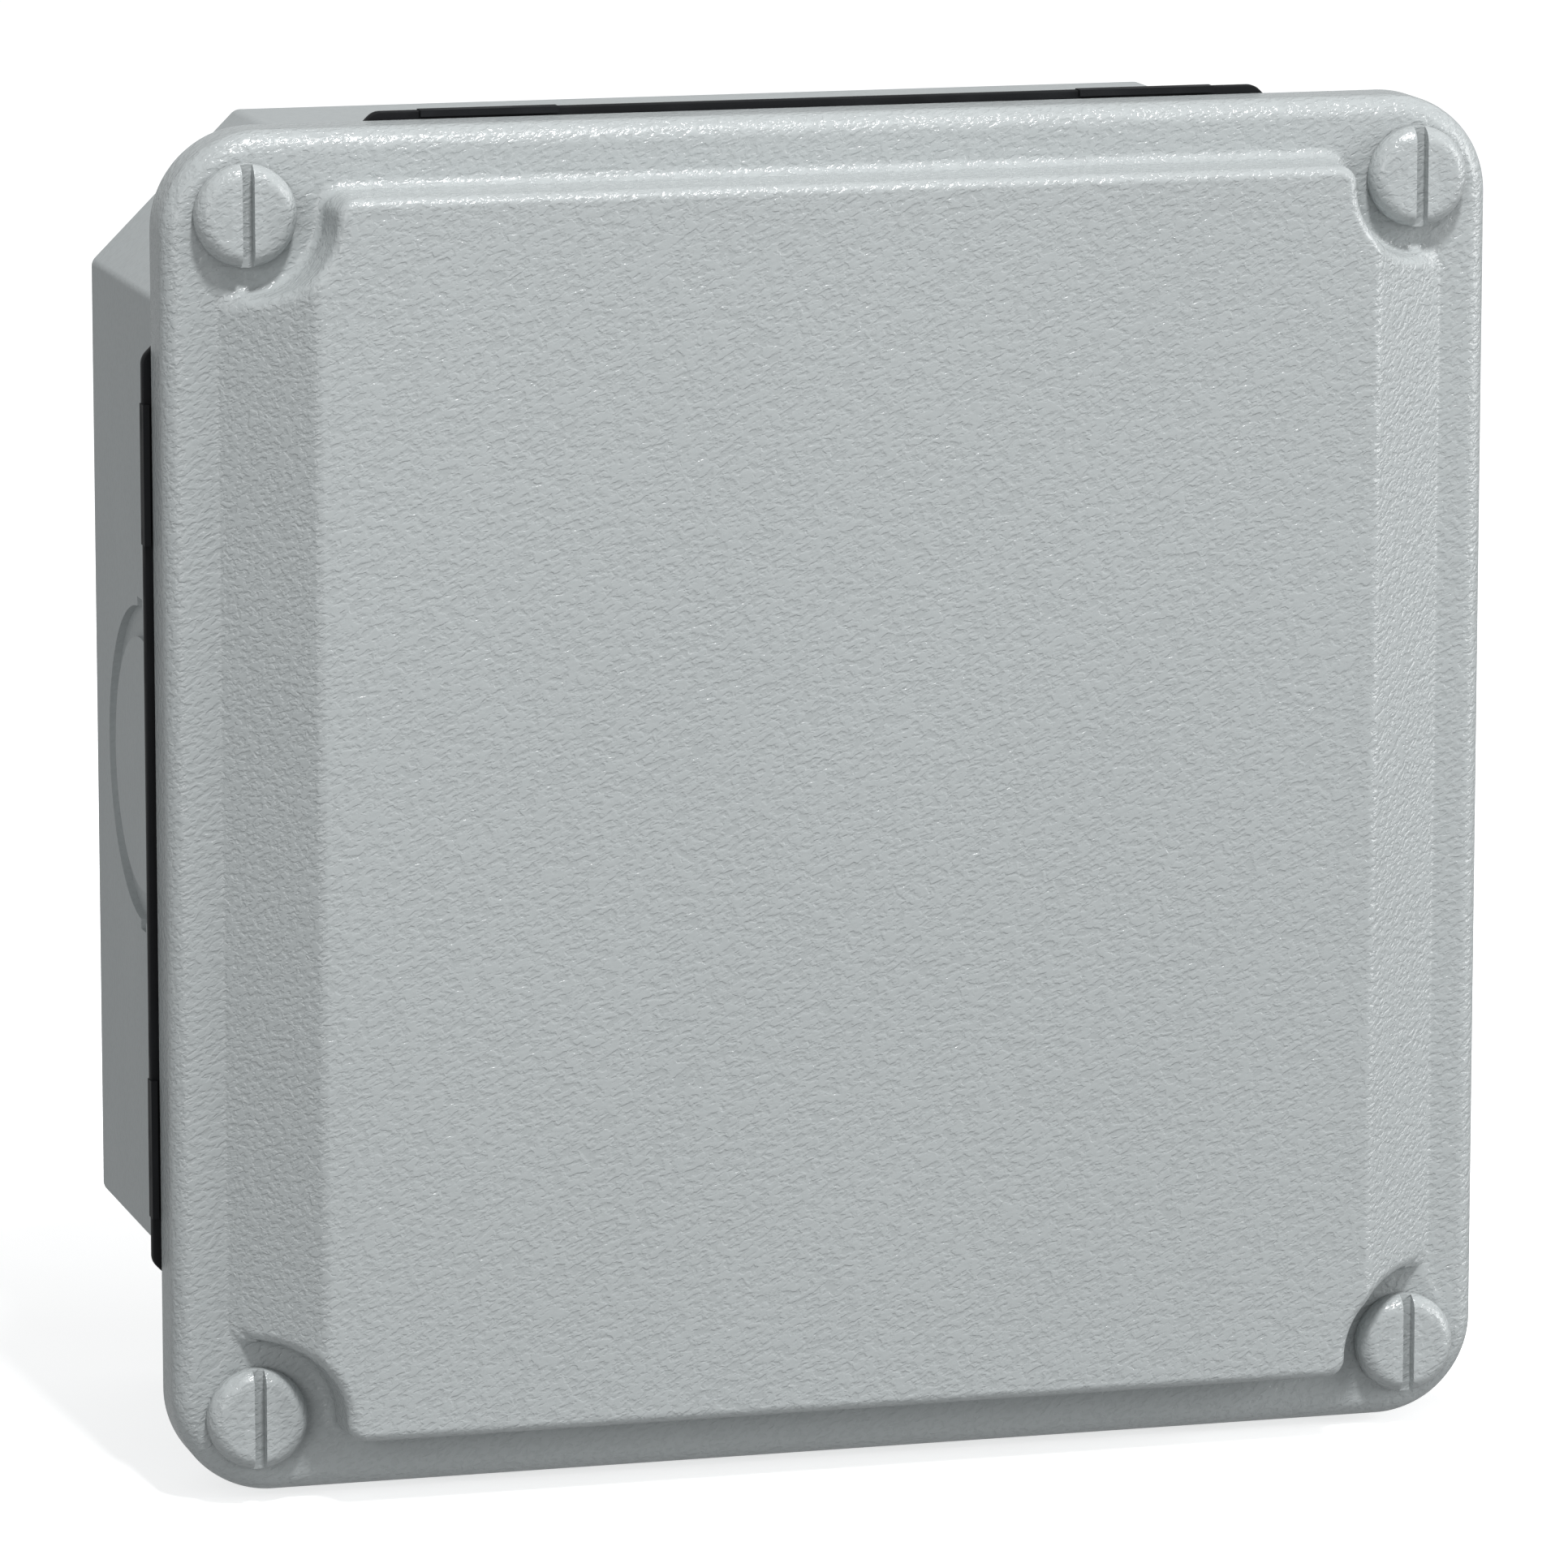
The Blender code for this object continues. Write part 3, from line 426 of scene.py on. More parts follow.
@dataclass(frozen=True)
class Paper:
    """Pale seamless paper that the box stands on."""

    name: str
    colour: Point
    light: float

    def build(self) -> bpy.types.Material:
        """Make the material."""
        sketch = NodeSketch(self.name)
        pulp = sketch.spread(sketch.noise(0.02, 6.0), MIDDLE, WHOLE)
        base = sketch.blend(pulp, tone(self.colour, 0.985), tone(self.colour, 1.0))
        sketch.feed(sketch.shader.inputs["Base Color"], base)
        rough = sketch.spread(pulp, WHOLE, (0.75, 0.9))
        sketch.feed(sketch.shader.inputs["Roughness"], rough)
        sketch.shader.inputs["Emission Color"].default_value = (1.0, 1.0, 1.0, 1.0)
        sketch.shader.inputs["Emission Strength"].default_value = self.light
        return sketch.material


class Finishes:
    """Every finish of the box, each made once."""

    def __init__(self) -> None:
        """Make all the materials."""
        grey = (0.405, 0.430, 0.434)
        self.cover = Moulding("cover_grey_grained", grey).build()
        self.screw = Moulding("screw_grey_grained", grey, grain_depth=0.00006).build()
        self.tub = Moulding(
            "tub_grey_fine", grey, roughness=0.40, grain_pitch=0.0006, grain_depth=0.000018
        ).build()
        self.cap = Moulding("cap_grey_fine", grey, grain_pitch=0.0006, grain_depth=0.00003).build()
        self.rubber = Rubber("seal_black_rubber", (0.0045, 0.0050, 0.0062)).build()
        self.nylon = Polyamide("washer_white_nylon", (0.74, 0.73, 0.68), 0.4, 0.25).build()
        self.brass = Metal("brass_turned", (0.76, 0.55, 0.25), (0.42, 0.26, 0.10)).build()
        self.zinc = Metal(
            "steel_zinc_plated", (0.64, 0.66, 0.69), (0.42, 0.43, 0.45), marks=(0.3, 6.0, 6.0)
        ).build()
        self.stop = Polyamide("stop_dark_grey", (0.20, 0.21, 0.215)).build()
        self.terminals = {
            "line_1": Polyamide("terminal_grey_left", (0.34, 0.35, 0.35)).build(),
            "line_2": Polyamide("terminal_grey_right", (0.33, 0.34, 0.345)).build(),
            "neutral": Polyamide("terminal_blue", (0.04, 0.17, 0.50)).build(),
            "earth": Polyamide("terminal_green", (0.13, 0.38, 0.08)).build(),
        }


# ---------------------------------------------------------------------- outlines
def arc(centre: Flat, radius: float, start: float, end: float, steps: int) -> list[Flat]:
    """Points on an arc, both ends included.

    Args:
        centre: The arc's middle.
        radius: Its radius.
        start: First angle in degrees.
        end: Last angle in degrees.
        steps: Number of chords.

    Returns:
        The points in order.
    """
    points = []
    for i in range(steps + 1):
        angle = math.radians(start + (end - start) * i / steps)
        points.append((centre[0] + radius * math.cos(angle), centre[1] + radius * math.sin(angle)))
    return points


def four_quadrants(quarter: list[Flat]) -> list[Flat]:
    """Mirror a first-quadrant outline into a closed ring.

    Args:
        quarter: The outline, from its +X end to its +Z end.

    Returns:
        The ring, starting with the given quarter.
    """
    back = quarter[::-1]
    ring = list(quarter)
    ring += [(-x, z) for x, z in back]
    ring += [(-x, -z) for x, z in quarter]
    ring += [(x, -z) for x, z in back]
    return ring


def rounded_square(half: float, radius: float, steps: int) -> list[Flat]:
    """Ring of a square with round corners.

    Args:
        half: Half of the width.
        radius: Radius of the corners.
        steps: Chords in each corner.

    Returns:
        The closed ring.
    """
    return four_quadrants(arc((half - radius, half - radius), radius, 0, 90, steps))


def octagon(half: float, flat_half: float, ridge: float, steps: int) -> list[Flat]:
    """Ring of a square with 45 degree corners, whose ridges are rounded.

    Args:
        half: Half of the width across the long sides.
        flat_half: Half the length of a long side, out to its ridge.
        ridge: Radius of the ridges.
        steps: Chords in each ridge.

    Returns:
        The closed ring.
    """
    tangent = ridge * EIGHTH
    lower = arc((half - ridge, flat_half - tangent), ridge, 0, 45, steps)
    upper = [(z, x) for x, z in reversed(lower)]
    return four_quadrants(lower + upper)


def lift(ring: list[Flat], front: float) -> Ring:
    """Place a flat ring at one front distance."""
    return [(x, -front, z) for x, z in ring]


# ---------------------------------------------------------------------- mesh work
class Workpiece:
    """One visible piece, built as a mesh and then attached to the frame."""

    def __init__(self, name: str) -> None:
        """Start an empty mesh.

        Args:
            name: Name of the finished object.
        """
        self.name = name
        self.bm = bmesh.new()
        self.item: bpy.types.Object | None = None

    def loft(self, rings: list[Ring], closed: bool = False) -> list[list[bmesh.types.BMVert]]:
        """Join rings of equal length in order.

        Args:
            rings: The rings, each with the same number of points.
            closed: Whether the last ring joins the first.

        Returns:
            The vertices of each ring.
        """
        loops = [[self.bm.verts.new(point) for point in ring] for ring in rings]
        following = loops[1:] + loops[:1] if closed else loops[1:]
        for near, far in zip(loops, following):
            for i in range(len(near)):
                j = (i + 1) % len(near)
                self.bm.faces.new((near[i], near[j], far[j], far[i]))
        return loops

    def turn_profile(self, profile: list[Flat], spot: Flat, steps: int) -> None:
        """Turn a (radius, front) profile about an axis along Y; ends on the axis are closed.

        Args:
            profile: The half section, from the front end to the back end.
            spot: The axis's (x, z).
            steps: Facets around.
        """
        rings = []
        for radius, front in profile:
            circle = arc(spot, radius, 0, 360, steps)[:-1]
            rings.append(lift(circle, front))
        loops = self.loft(rings)
        self.bm.faces.new(loops[0])
        self.bm.faces.new(loops[-1])

    def post(self, spot: Flat, radius: float, back: float, front: float, steps: int = 48) -> None:
        """Add a closed cylinder along Y between two front distances."""
        self.turn_profile([(radius, front), (radius, back)], spot, steps)

    def block(self, low: Point, high: Point) -> None:
        """Add a box between two corners given as (x, front, z)."""
        centre = [(a + b) / 2 for a, b in zip(low, high)]
        size = [abs(b - a) for a, b in zip(low, high)]
        middle = Matrix.Translation((centre[0], -centre[1], centre[2]))
        stretch = Matrix.Diagonal((*size, 1.0))
        bmesh.ops.create_cube(self.bm, size=1.0, matrix=middle @ stretch)

    def settle(self) -> bpy.types.Object:
        """Turn the mesh under work into an object with its faces pointing out."""
        bmesh.ops.recalc_face_normals(self.bm, faces=self.bm.faces)
        mesh = bpy.data.meshes.new(self.name)
        self.bm.to_mesh(mesh)
        self.bm.free()
        self.item = bpy.data.objects.new(self.name, mesh)
        bpy.context.scene.collection.objects.link(self.item)
        return self.item

    def apply_modifiers(self) -> None:
        """Bake the object's modifiers into its mesh."""
        bpy.context.view_layer.update()
        graph = bpy.context.evaluated_depsgraph_get()
        mesh = bpy.data.meshes.new_from_object(self.item.evaluated_get(graph))
        self.item.modifiers.clear()
        spent = self.item.data
        self.item.data = mesh
        bpy.data.meshes.remove(spent)
        mesh.name = self.name

    def combine(self, tool: "Workpiece", way: Merge) -> None:
        """Join or cut with another workpiece, which is used up.

        Args:
            tool: The other shape.
            way: Join or cut.
        """
        other = tool.settle()
        step = self.item.modifiers.new("combine", "BOOLEAN")
        step.operation = way.value
        step.object = other
        step.solver = "EXACT"
        self.apply_modifiers()
        bpy.data.objects.remove(other, do_unlink=True)

    def round_edges(self, width: float, angle: float = 50.0, segments: int = 2) -> None:
        """Round every edge sharper than an angle.

        Args:
            width: Width of the round.
            angle: Least angle between two faces, in degrees.
            segments: Facets across the round.
        """
        step = self.item.modifiers.new("edges", "BEVEL")
        step.width = width
        step.segments = segments
        step.limit_method = "ANGLE"
        step.angle_limit = math.radians(angle)
        step.use_clamp_overlap = True
        self.apply_modifiers()

    def dress(self, finish: bpy.types.Material, body: str, nodes: list[str]) -> None:
        """Shade the piece, give it its finish and attach it to the frame.

        Args:
            finish: The material.
            body: The body it rides on.
            nodes: The nodes it stands for.
        """
        mesh = self.item.data
        mesh.materials.clear()
        mesh.materials.append(finish)
        mesh.shade_smooth()
        mesh.set_sharp_from_angle(angle=math.radians(38))
        weighted = self.item.modifiers.new("shading", "WEIGHTED_NORMAL")
        weighted.keep_sharp = True
        weighted.weight = 100
        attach(self.item, body)
        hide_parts(*nodes)
        LOG.info("%s: %d faces", self.name, len(mesh.polygons))


# ---------------------------------------------------------------------- cover
@dataclass
class Cover:
    """Square cover with a round rim and a raised panel that scoops around the screws."""

    finishes: Finishes
    corner: float = 0.0125
    wall: float = 0.0026
    skirt_back: float = 0.0626
    skirt_edge: float = 0.0003
    rim_start: float = 0.0680
    rim_round: float = 0.0028
    panel_wall: float = 0.0025
    panel_half: float = 0.07905
    panel_round: float = 0.0014
    panel_run: float = 0.00305
    panel_inner_run: float = 0.0036
    ramp_foot: float = 0.0785
    ramp_top: float = 0.0677
    crease_round: float = 0.0007
    screw_offset: float = 0.075
    scoop: float = 0.0084
    scoop_shoulder: float = 0.0040
    boss_radius: float = 0.0048
    bore_radius: float = 0.00275
    pocket_radius: float = 0.0040
    pocket_depth: float = 0.0040
    rib_half: float = 0.0806
    rib_flat_half: float = 0.0598
    rib_thick: float = 0.0014
    rib_ridge: float = 0.0016
    shoulder_least: float = 0.0003
    shoulder_steps: int = 8
    scoop_steps: int = 9
    round_steps: int = 7

    def __post_init__(self) -> None:
        """Take the outer sizes from the frame."""
        low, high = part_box("cover")
        self.half = high.x
        self.panel_front = -low.y
        self.boss_back = -high.y
        self.rim_face = self.rim_start + self.rim_round
        self.rise = self.panel_front - self.rim_face
        self.underside = self.rim_face - self.wall
        self.crease_index = self.shoulder_steps + self.scoop_steps
        self.quarter_count = 2 * (self.shoulder_steps + self.scoop_steps) + 1

    def panel_outline(self, run: float) -> list[Flat]:
        """Ring of the raised panel's outline, moved inwards by run.

        Each quarter has a point where the outline crosses the line on which the side
        ramp meets the panel.
        """
        screw = (self.screw_offset, self.screw_offset)
        side = self.panel_half - self.scoop_shoulder
        reach = math.sqrt((self.scoop + self.scoop_shoulder) ** 2 - (side - screw[0]) ** 2)
        near = (side, screw[1] - reach)
        far = (near[1], near[0])
        shoulder = max(self.scoop_shoulder - run, self.shoulder_least)
        scoop = self.scoop + run
        crease = -180 + math.degrees(math.acos((screw[0] - self.ramp_top) / scoop))
        quarter = arc(near, shoulder, 0, 90, self.shoulder_steps)
        quarter += arc(screw, scoop, -90, crease, self.scoop_steps)[1:]
        quarter += arc(screw, scoop, crease, -180, self.scoop_steps)[1:]
        quarter += arc(far, shoulder, 0, 90, self.shoulder_steps)[1:]
        return four_quadrants(quarter)

    def wall_shares(self) -> list[float]:
        """How much each outline point belongs to the scooped wall, against the ramp."""
        quarter = []
        for i in range(self.quarter_count):
            t = min(i / self.shoulder_steps, 1.0)
            quarter.append(t * t * (3 - 2 * t))
        return (quarter + quarter[::-1]) * 2

    def panel_rise(self, x: float) -> float:
        """Height of the panel and its two side ramps above the rim at a given X."""
        share = (self.ramp_foot - abs(x)) / (self.ramp_foot - self.ramp_top)
        return self.rise * min(max(share, 0.0), 1.0)

    def wall_ring(self, run: float, height: Callable[[float], float]) -> Ring:
        """Ring on the panel's wall.

        Args:
            run: How far the ring lies inside the foot.
            height: Gives the wall's height for the panel's rise at that place.

        Returns:
            The ring's points.
        """
        points = []
        for (x, z), share in zip(self.panel_outline(run), self.wall_shares()):
            rise = self.panel_rise(x)
            wall = height(rise)
            points.append((x, -(self.rim_face + share * wall + (1 - share) * rise), z))
        return points

    def foot_ring(self, run: float, lift_off: float) -> Ring:
        """Ring in the lower round of the wall, lifted off its foot."""
        return self.wall_ring(run, lambda rise: min(lift_off, rise / 2))

    def crest_ring(self, run: float, drop: float) -> Ring:
        """Ring in the upper round of the wall, dropped from its crest."""
        return self.wall_ring(run, lambda rise: max(rise - drop, rise / 2))

    def rings(self) -> list[Ring]:
        """All rings of the shell, from the front panel over the rim to its inside."""
        corner_steps = self.quarter_count - 1
        turns = [math.radians(90 * i / self.round_steps) for i in range(self.round_steps + 1)]
        radius = self.panel_round
        front = [
            self.foot_ring(radius * math.sin(turn), radius * (1 - math.cos(turn)))
            for turn in turns
        ]
        front += [
            self.crest_ring(self.panel_run - radius * math.cos(turn), radius * (1 - math.sin(turn)))
            for turn in turns
        ]
        rim = []
        for turn in turns:
            inset = self.rim_round * (1 - math.cos(turn))
            outline = rounded_square(self.half - inset, self.corner - inset, corner_steps)
            rim.append(lift(outline, self.rim_start + self.rim_round * math.sin(turn)))
        outer = rounded_square(self.half, self.corner, corner_steps)
        inner = rounded_square(self.half - self.wall, self.corner - self.wall, corner_steps)
        block = self.panel_outline(self.panel_inner_run)
        rings = front[::-1] + rim[::-1]
        rings.append(lift(outer, self.skirt_back + self.skirt_edge))
        edge = rounded_square(
            self.half - self.skirt_edge, self.corner - self.skirt_edge, corner_steps
        )
        rings.append(lift(edge, self.skirt_back))
        rings.append(lift(inner, self.skirt_back))
        rings.append(lift(inner, self.underside))
        rings.append(lift(block, self.underside))
        rings.append(
            [(x, -(self.rim_face + self.panel_rise(x) - self.panel_wall), z) for x, z in block]
        )
        return rings

    def close_panel(
        self, bm: bmesh.types.BMesh, loop: list[bmesh.types.BMVert]
    ) -> list[bmesh.types.BMEdge]:
        """Close a panel ring with the flat panel and its two ramps.

        Args:
            bm: The mesh.
            loop: The ring's vertices.

        Returns:
            The two creases between panel and ramps.
        """
        count, crease = self.quarter_count, self.crease_index
        right_low = 4 * count - 1 - crease
        left_high = 2 * count - 1 - crease
        left_low = 2 * count + crease
        bm.faces.new(loop[right_low:] + loop[: crease + 1])
        bm.faces.new(loop[left_high : left_low + 1])
        bm.faces.new(loop[crease : left_high + 1] + loop[left_low : right_low + 1])
        return [
            bm.edges.get((loop[crease], loop[right_low])),
            bm.edges.get((loop[left_high], loop[left_low])),
        ]

    def build(self) -> None:
        """Model the cover with its seal rib, bosses and bores, and dress it."""
        shell = Workpiece("cover_shell")
        loops = shell.loft(self.rings())
        creases = self.close_panel(shell.bm, loops[0])
        self.close_panel(shell.bm, loops[-1])
        bmesh.ops.bevel(
            shell.bm,
            geom=creases,
            offset=self.crease_round,
            segments=4,
            profile=0.5,
            affect="EDGES",
        )
        shell.settle()

        rib = Workpiece("rib")
        outer = octagon(self.rib_half, self.rib_flat_half, self.rib_ridge, 4)
        slim = self.rib_thick * EIGHTH
        inner = octagon(
            self.rib_half - self.rib_thick, self.rib_flat_half - slim, self.rib_ridge, 4
        )
        top = self.underside + OVERLAP
        back = self.skirt_back
        section = [lift(outer, back), lift(outer, top), lift(inner, top), lift(inner, back)]
        rib.loft(section, closed=True)
        shell.combine(rib, Merge.JOIN)

        bosses, pockets, bores = Workpiece("bosses"), Workpiece("pockets"), Workpiece("bores")
        pocket_front = self.boss_back + self.pocket_depth
        for corner in Corner:
            spot = corner.spot(self.screw_offset)
            bosses.post(spot, self.boss_radius, self.boss_back, top)
            pockets.post(spot, self.pocket_radius, self.boss_back - OVERLAP, pocket_front)
            bores.post(spot, self.bore_radius, self.skirt_back, self.rim_face + OVERLAP)
        shell.combine(bosses, Merge.JOIN)
        shell.combine(pockets, Merge.CUT)
        shell.combine(bores, Merge.CUT)
        shell.dress(self.finishes.cover, "cover_body", ["cover"])


# ---------------------------------------------------------------------- seal
@dataclass
class Seal:
    """Rubber seal around the tub's mouth, with eight lips over the cover's edge."""

    finishes: Finishes
    half: float = 0.086
    flat_half: float = 0.05585
    end_radius: float = 0.0021
    inner_half: float = 0.0772
    inner_flat_half: float = 0.0598
    front: float = 0.0623
    inner_ridge: float = 0.0016
    flat_share: float = 0.41
    edge_round: float = 0.00025
    ridge_steps: int = 8
    lip_start: float = 0.0335
    lip_end: float = 0.0510
    lip_low: float = 0.0853

    def __post_init__(self) -> None:
        """Take the outer sizes from the frame."""
        low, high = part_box("cover_seal")
        self.back = -high.y
        self.lip_front = -low.y
        self.lip_outer = high.x

    def ring(self, inset: float, front: float) -> Ring:
        """Outer outline of the seal, moved inwards, at one front distance."""
        radius = self.end_radius - inset
        flat = self.flat_half + self.end_radius * EIGHTH - inset * self.flat_share
        return lift(octagon(self.half - inset, flat, radius, self.ridge_steps), front)

    def build(self) -> None:
        """Model the flat ring and its lips, and dress them."""
        edge = self.edge_round
        rings = [
            self.ring(edge, self.back),
            self.ring(edge * 0.3, self.back + edge * 0.3),
            self.ring(0.0, self.back + edge),
            self.ring(0.0, self.front - edge),
            self.ring(edge * 0.3, self.front - edge * 0.3),
            self.ring(edge, self.front),
        ]
        inner = octagon(
            self.inner_half, self.inner_flat_half, self.inner_ridge, self.ridge_steps
        )
        rings += [lift(inner, self.front), lift(inner, self.back)]
        band = Workpiece("seal_band")
        band.loft(rings, closed=True)
        band.settle()
        lips = Workpiece("lips")
        for sign in (-1, 1):
            for start, end in ((self.lip_start, self.lip_end), (-self.lip_end, -self.lip_start)):
                low, high = sign * self.lip_low, sign * self.lip_outer
                lips.block((low, self.back, start), (high, self.lip_front, end))
                lips.block((start, self.back, low), (end, self.lip_front, high))
        band.combine(lips, Merge.JOIN)
        band.dress(self.finishes.rubber, "cover_body", ["cover_seal"])


# ---------------------------------------------------------------------- tub
@dataclass
class Tub:
    """Octagonal tub with a front flange, posts inside and a break-out ring in each wall."""

    finishes: Finishes
    half: float = 0.07975
    flat_half: float = 0.06076
    ridge: float = 0.0016
    wall: float = 0.0030
    back_round: float = 0.0008
    flange_corner: float = 0.010
    flange_thick: float = 0.0035
    flange_round: float = 0.0004
    insert_offset: float = 0.075
    insert_boss_radius: float = 0.0058
    insert_boss_back: float = 0.0500
    insert_bore: float = 0.0038
    insert_bore_back: float = 0.0517
    column_offset: float = 0.058
    column_radius: float = 0.0068
    column_front: float = 0.0095
    column_bore: float = 0.0024
    pocket_radius: float = 0.0046
    pocket_back: float = 0.0050
    rail_offset: float = 0.045
    rail_post_radius: float = 0.0050
    rail_post_front: float = 0.0080
    rail_bore: float = 0.0022
    rail_bore_back: float = 0.0020
    ring_front: float = 0.02875
    ring_outer: float = 0.02025
    ring_inner: float = 0.0163
    ring_depth: float = 0.0010
    notch_half: float = 0.0015
    notch_rise: float = 0.00115
    ridge_steps: int = 6
    ring_steps: int = 96

    def __post_init__(self) -> None:
        """Take the flange's sizes from the frame."""
        low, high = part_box("tub")
        self.flange_half = high.x
        self.front = -low.y

    def outline(self, inset: float) -> list[Flat]:
        """Octagonal outline of the tub, moved inwards by inset."""
        flat = self.flat_half - inset * EIGHTH
        return octagon(self.half - inset, flat, self.ridge, self.ridge_steps)

    def flange(self, inset: float) -> list[Flat]:
        """Outline of the flange, with as many points as the tub's."""
        steps = 2 * self.ridge_steps + 1
        return rounded_square(self.flange_half - inset, self.flange_corner - inset, steps)

    def rings(self) -> list[Ring]:
        """Rings from the back, up the outside, over the flange and down the inside."""
        edge = self.back_round
        soft = self.flange_round
        behind = self.front - self.flange_thick
        rings = []
        for i in range(5):
            turn = math.radians(22.5 * i)
            outline = self.outline(edge * (1 - math.sin(turn)))
            rings.append(lift(outline, edge * (1 - math.cos(turn))))
        rings += [
            lift(self.outline(0.0), behind),
            lift(self.flange(soft), behind),
            lift(self.flange(soft * 0.3), behind + soft * 0.3),
            lift(self.flange(0.0), behind + soft),
            lift(self.flange(0.0), self.front - soft),
            lift(self.flange(soft * 0.3), self.front - soft * 0.3),
            lift(self.flange(soft), self.front),
            lift(self.outline(self.wall - soft), self.front),
            lift(self.outline(self.wall), self.front - soft),
            lift(self.outline(self.wall), self.wall + edge),
            lift(self.outline(self.wall + edge), self.wall),
        ]
        return rings

    def add_posts(self, tub: Workpiece) -> None:
        """Add the bosses, columns and rail posts, and bore them.

        Args:
            tub: The tub.
        """
        posts, bores, pockets = Workpiece("posts"), Workpiece("bores"), Workpiece("pockets")
        for corner in Corner:
            spot = corner.spot(self.insert_offset)
            posts.post(spot, self.insert_boss_radius, self.insert_boss_back, self.front - OVERLAP)
            bores.post(spot, self.insert_bore, self.insert_bore_back, self.front + OVERLAP)
            spot = corner.spot(self.column_offset)
            posts.post(spot, self.column_radius, self.wall / 2, self.column_front)
            bores.post(spot, self.column_bore, -OVERLAP, self.column_front + OVERLAP)
            pockets.post(spot, self.pocket_radius, self.pocket_back, self.column_front + OVERLAP)
        for side in (-1, 1):
            spot = (side * self.rail_offset, 0.0)
            posts.post(spot, self.rail_post_radius, self.wall / 2, self.rail_post_front)
            bores.post(spot, self.rail_bore, self.rail_bore_back, self.rail_post_front + OVERLAP)
        tub.combine(posts, Merge.JOIN)
        tub.combine(bores, Merge.CUT)
        tub.combine(pockets, Merge.CUT)

    def cut_ring(self, tub: Workpiece, index: int) -> None:
        """Sink one wall's break-out ring and its two lever notches.

        Args:
            tub: The tub.
            index: Quarter turns from the right-hand wall.
        """
        turn = Matrix.Rotation(index * math.pi / 2, 4, "Y")
        seat = Matrix.Translation((self.half, -self.ring_front, 0.0))
        tip = Matrix.Rotation(-math.pi / 2, 4, "Z")
        groove = Workpiece("groove")
        depth = self.ring_depth
        section = [
            (self.ring_outer, depth),
            (self.ring_outer, -depth),
            (self.ring_inner, -depth),
            (self.ring_inner, depth),
        ]
        rings = [
            lift(arc((0.0, 0.0), radius, 0, 360, self.ring_steps)[:-1], -level)
            for radius, level in section
        ]
        groove.loft(rings, closed=True)
        bmesh.ops.transform(groove.bm, matrix=turn @ seat @ tip, verts=groove.bm.verts)
        tub.combine(groove, Merge.CUT)
        notches = Workpiece("notches")
        for level in (-1, 1):
            near = level * (self.ring_outer - OVERLAP)
            far = level * (self.ring_outer + self.notch_rise)
            notches.block(
                (self.half - depth, self.ring_front - self.notch_half, near),
                (self.half + depth, self.ring_front + self.notch_half, far),
            )
        bmesh.ops.transform(notches.bm, matrix=turn, verts=notches.bm.verts)
        tub.combine(notches, Merge.CUT)

    def build(self) -> None:
        """Model the tub and dress it."""
        tub = Workpiece("tub_shell")
        loops = tub.loft(self.rings())
        tub.bm.faces.new(loops[0])
        tub.bm.faces.new(loops[-1])
        tub.settle()
        self.add_posts(tub)
        for index in range(4):
            self.cut_ring(tub, index)
        tub.dress(self.finishes.tub, "tub_body", ["tub"])


# ---------------------------------------------------------------------- cover screws
@dataclass
class CoverScrew:
    """Captive cover screw with a soft-edged slotted head."""

    finishes: Finishes
    corner: Corner
    offset: float = 0.075
    head_radius: float = 0.00635
    head_round: float = 0.0020
    shank_radius: float = 0.0023
    tip_chamfer: float = 0.0008
    slot_width: float = 0.0015
    slot_depth: float = 0.0017
    slot_edge: float = 0.00012
    underside: float = 0.0711
    facets: int = 72

    def __post_init__(self) -> None:
        """Take the screw's length from the frame."""
        low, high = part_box("cover_screw_" + self.corner.tag)
        self.top = -low.y
        self.tip = -high.y

    def profile(self) -> list[Flat]:
        """Half section from the head's flat top down to the tip."""
        flat = self.head_radius - self.head_round
        crown = self.top - self.head_round
        points = []
        for i in range(11):
            turn = math.radians(9 * i)
            radius = flat + self.head_round * math.sin(turn)
            points.append((radius, crown + self.head_round * math.cos(turn)))
        points += [
            (self.head_radius, self.underside),
            (self.shank_radius, self.underside),
            (self.shank_radius, self.tip + self.tip_chamfer),
            (self.shank_radius - self.tip_chamfer, self.tip),
        ]
        return points

    def build(self) -> None:
        """Model the screw and dress it."""
        name = "cover_screw_" + self.corner.tag
        x, z = self.corner.spot(self.offset)
        screw = Workpiece(name + "_turned")
        screw.turn_profile(self.profile(), (x, z), self.facets)
        screw.settle()
        slot = Workpiece("slot")
        half = self.slot_width / 2
        reach = self.head_radius + OVERLAP
        floor = self.top - self.slot_depth
        slot.block((x - half, floor, z - reach), (x + half, self.top + OVERLAP, z + reach))
        screw.combine(slot, Merge.CUT)
        screw.round_edges(self.slot_edge)
        screw.dress(self.finishes.screw, name, [name])


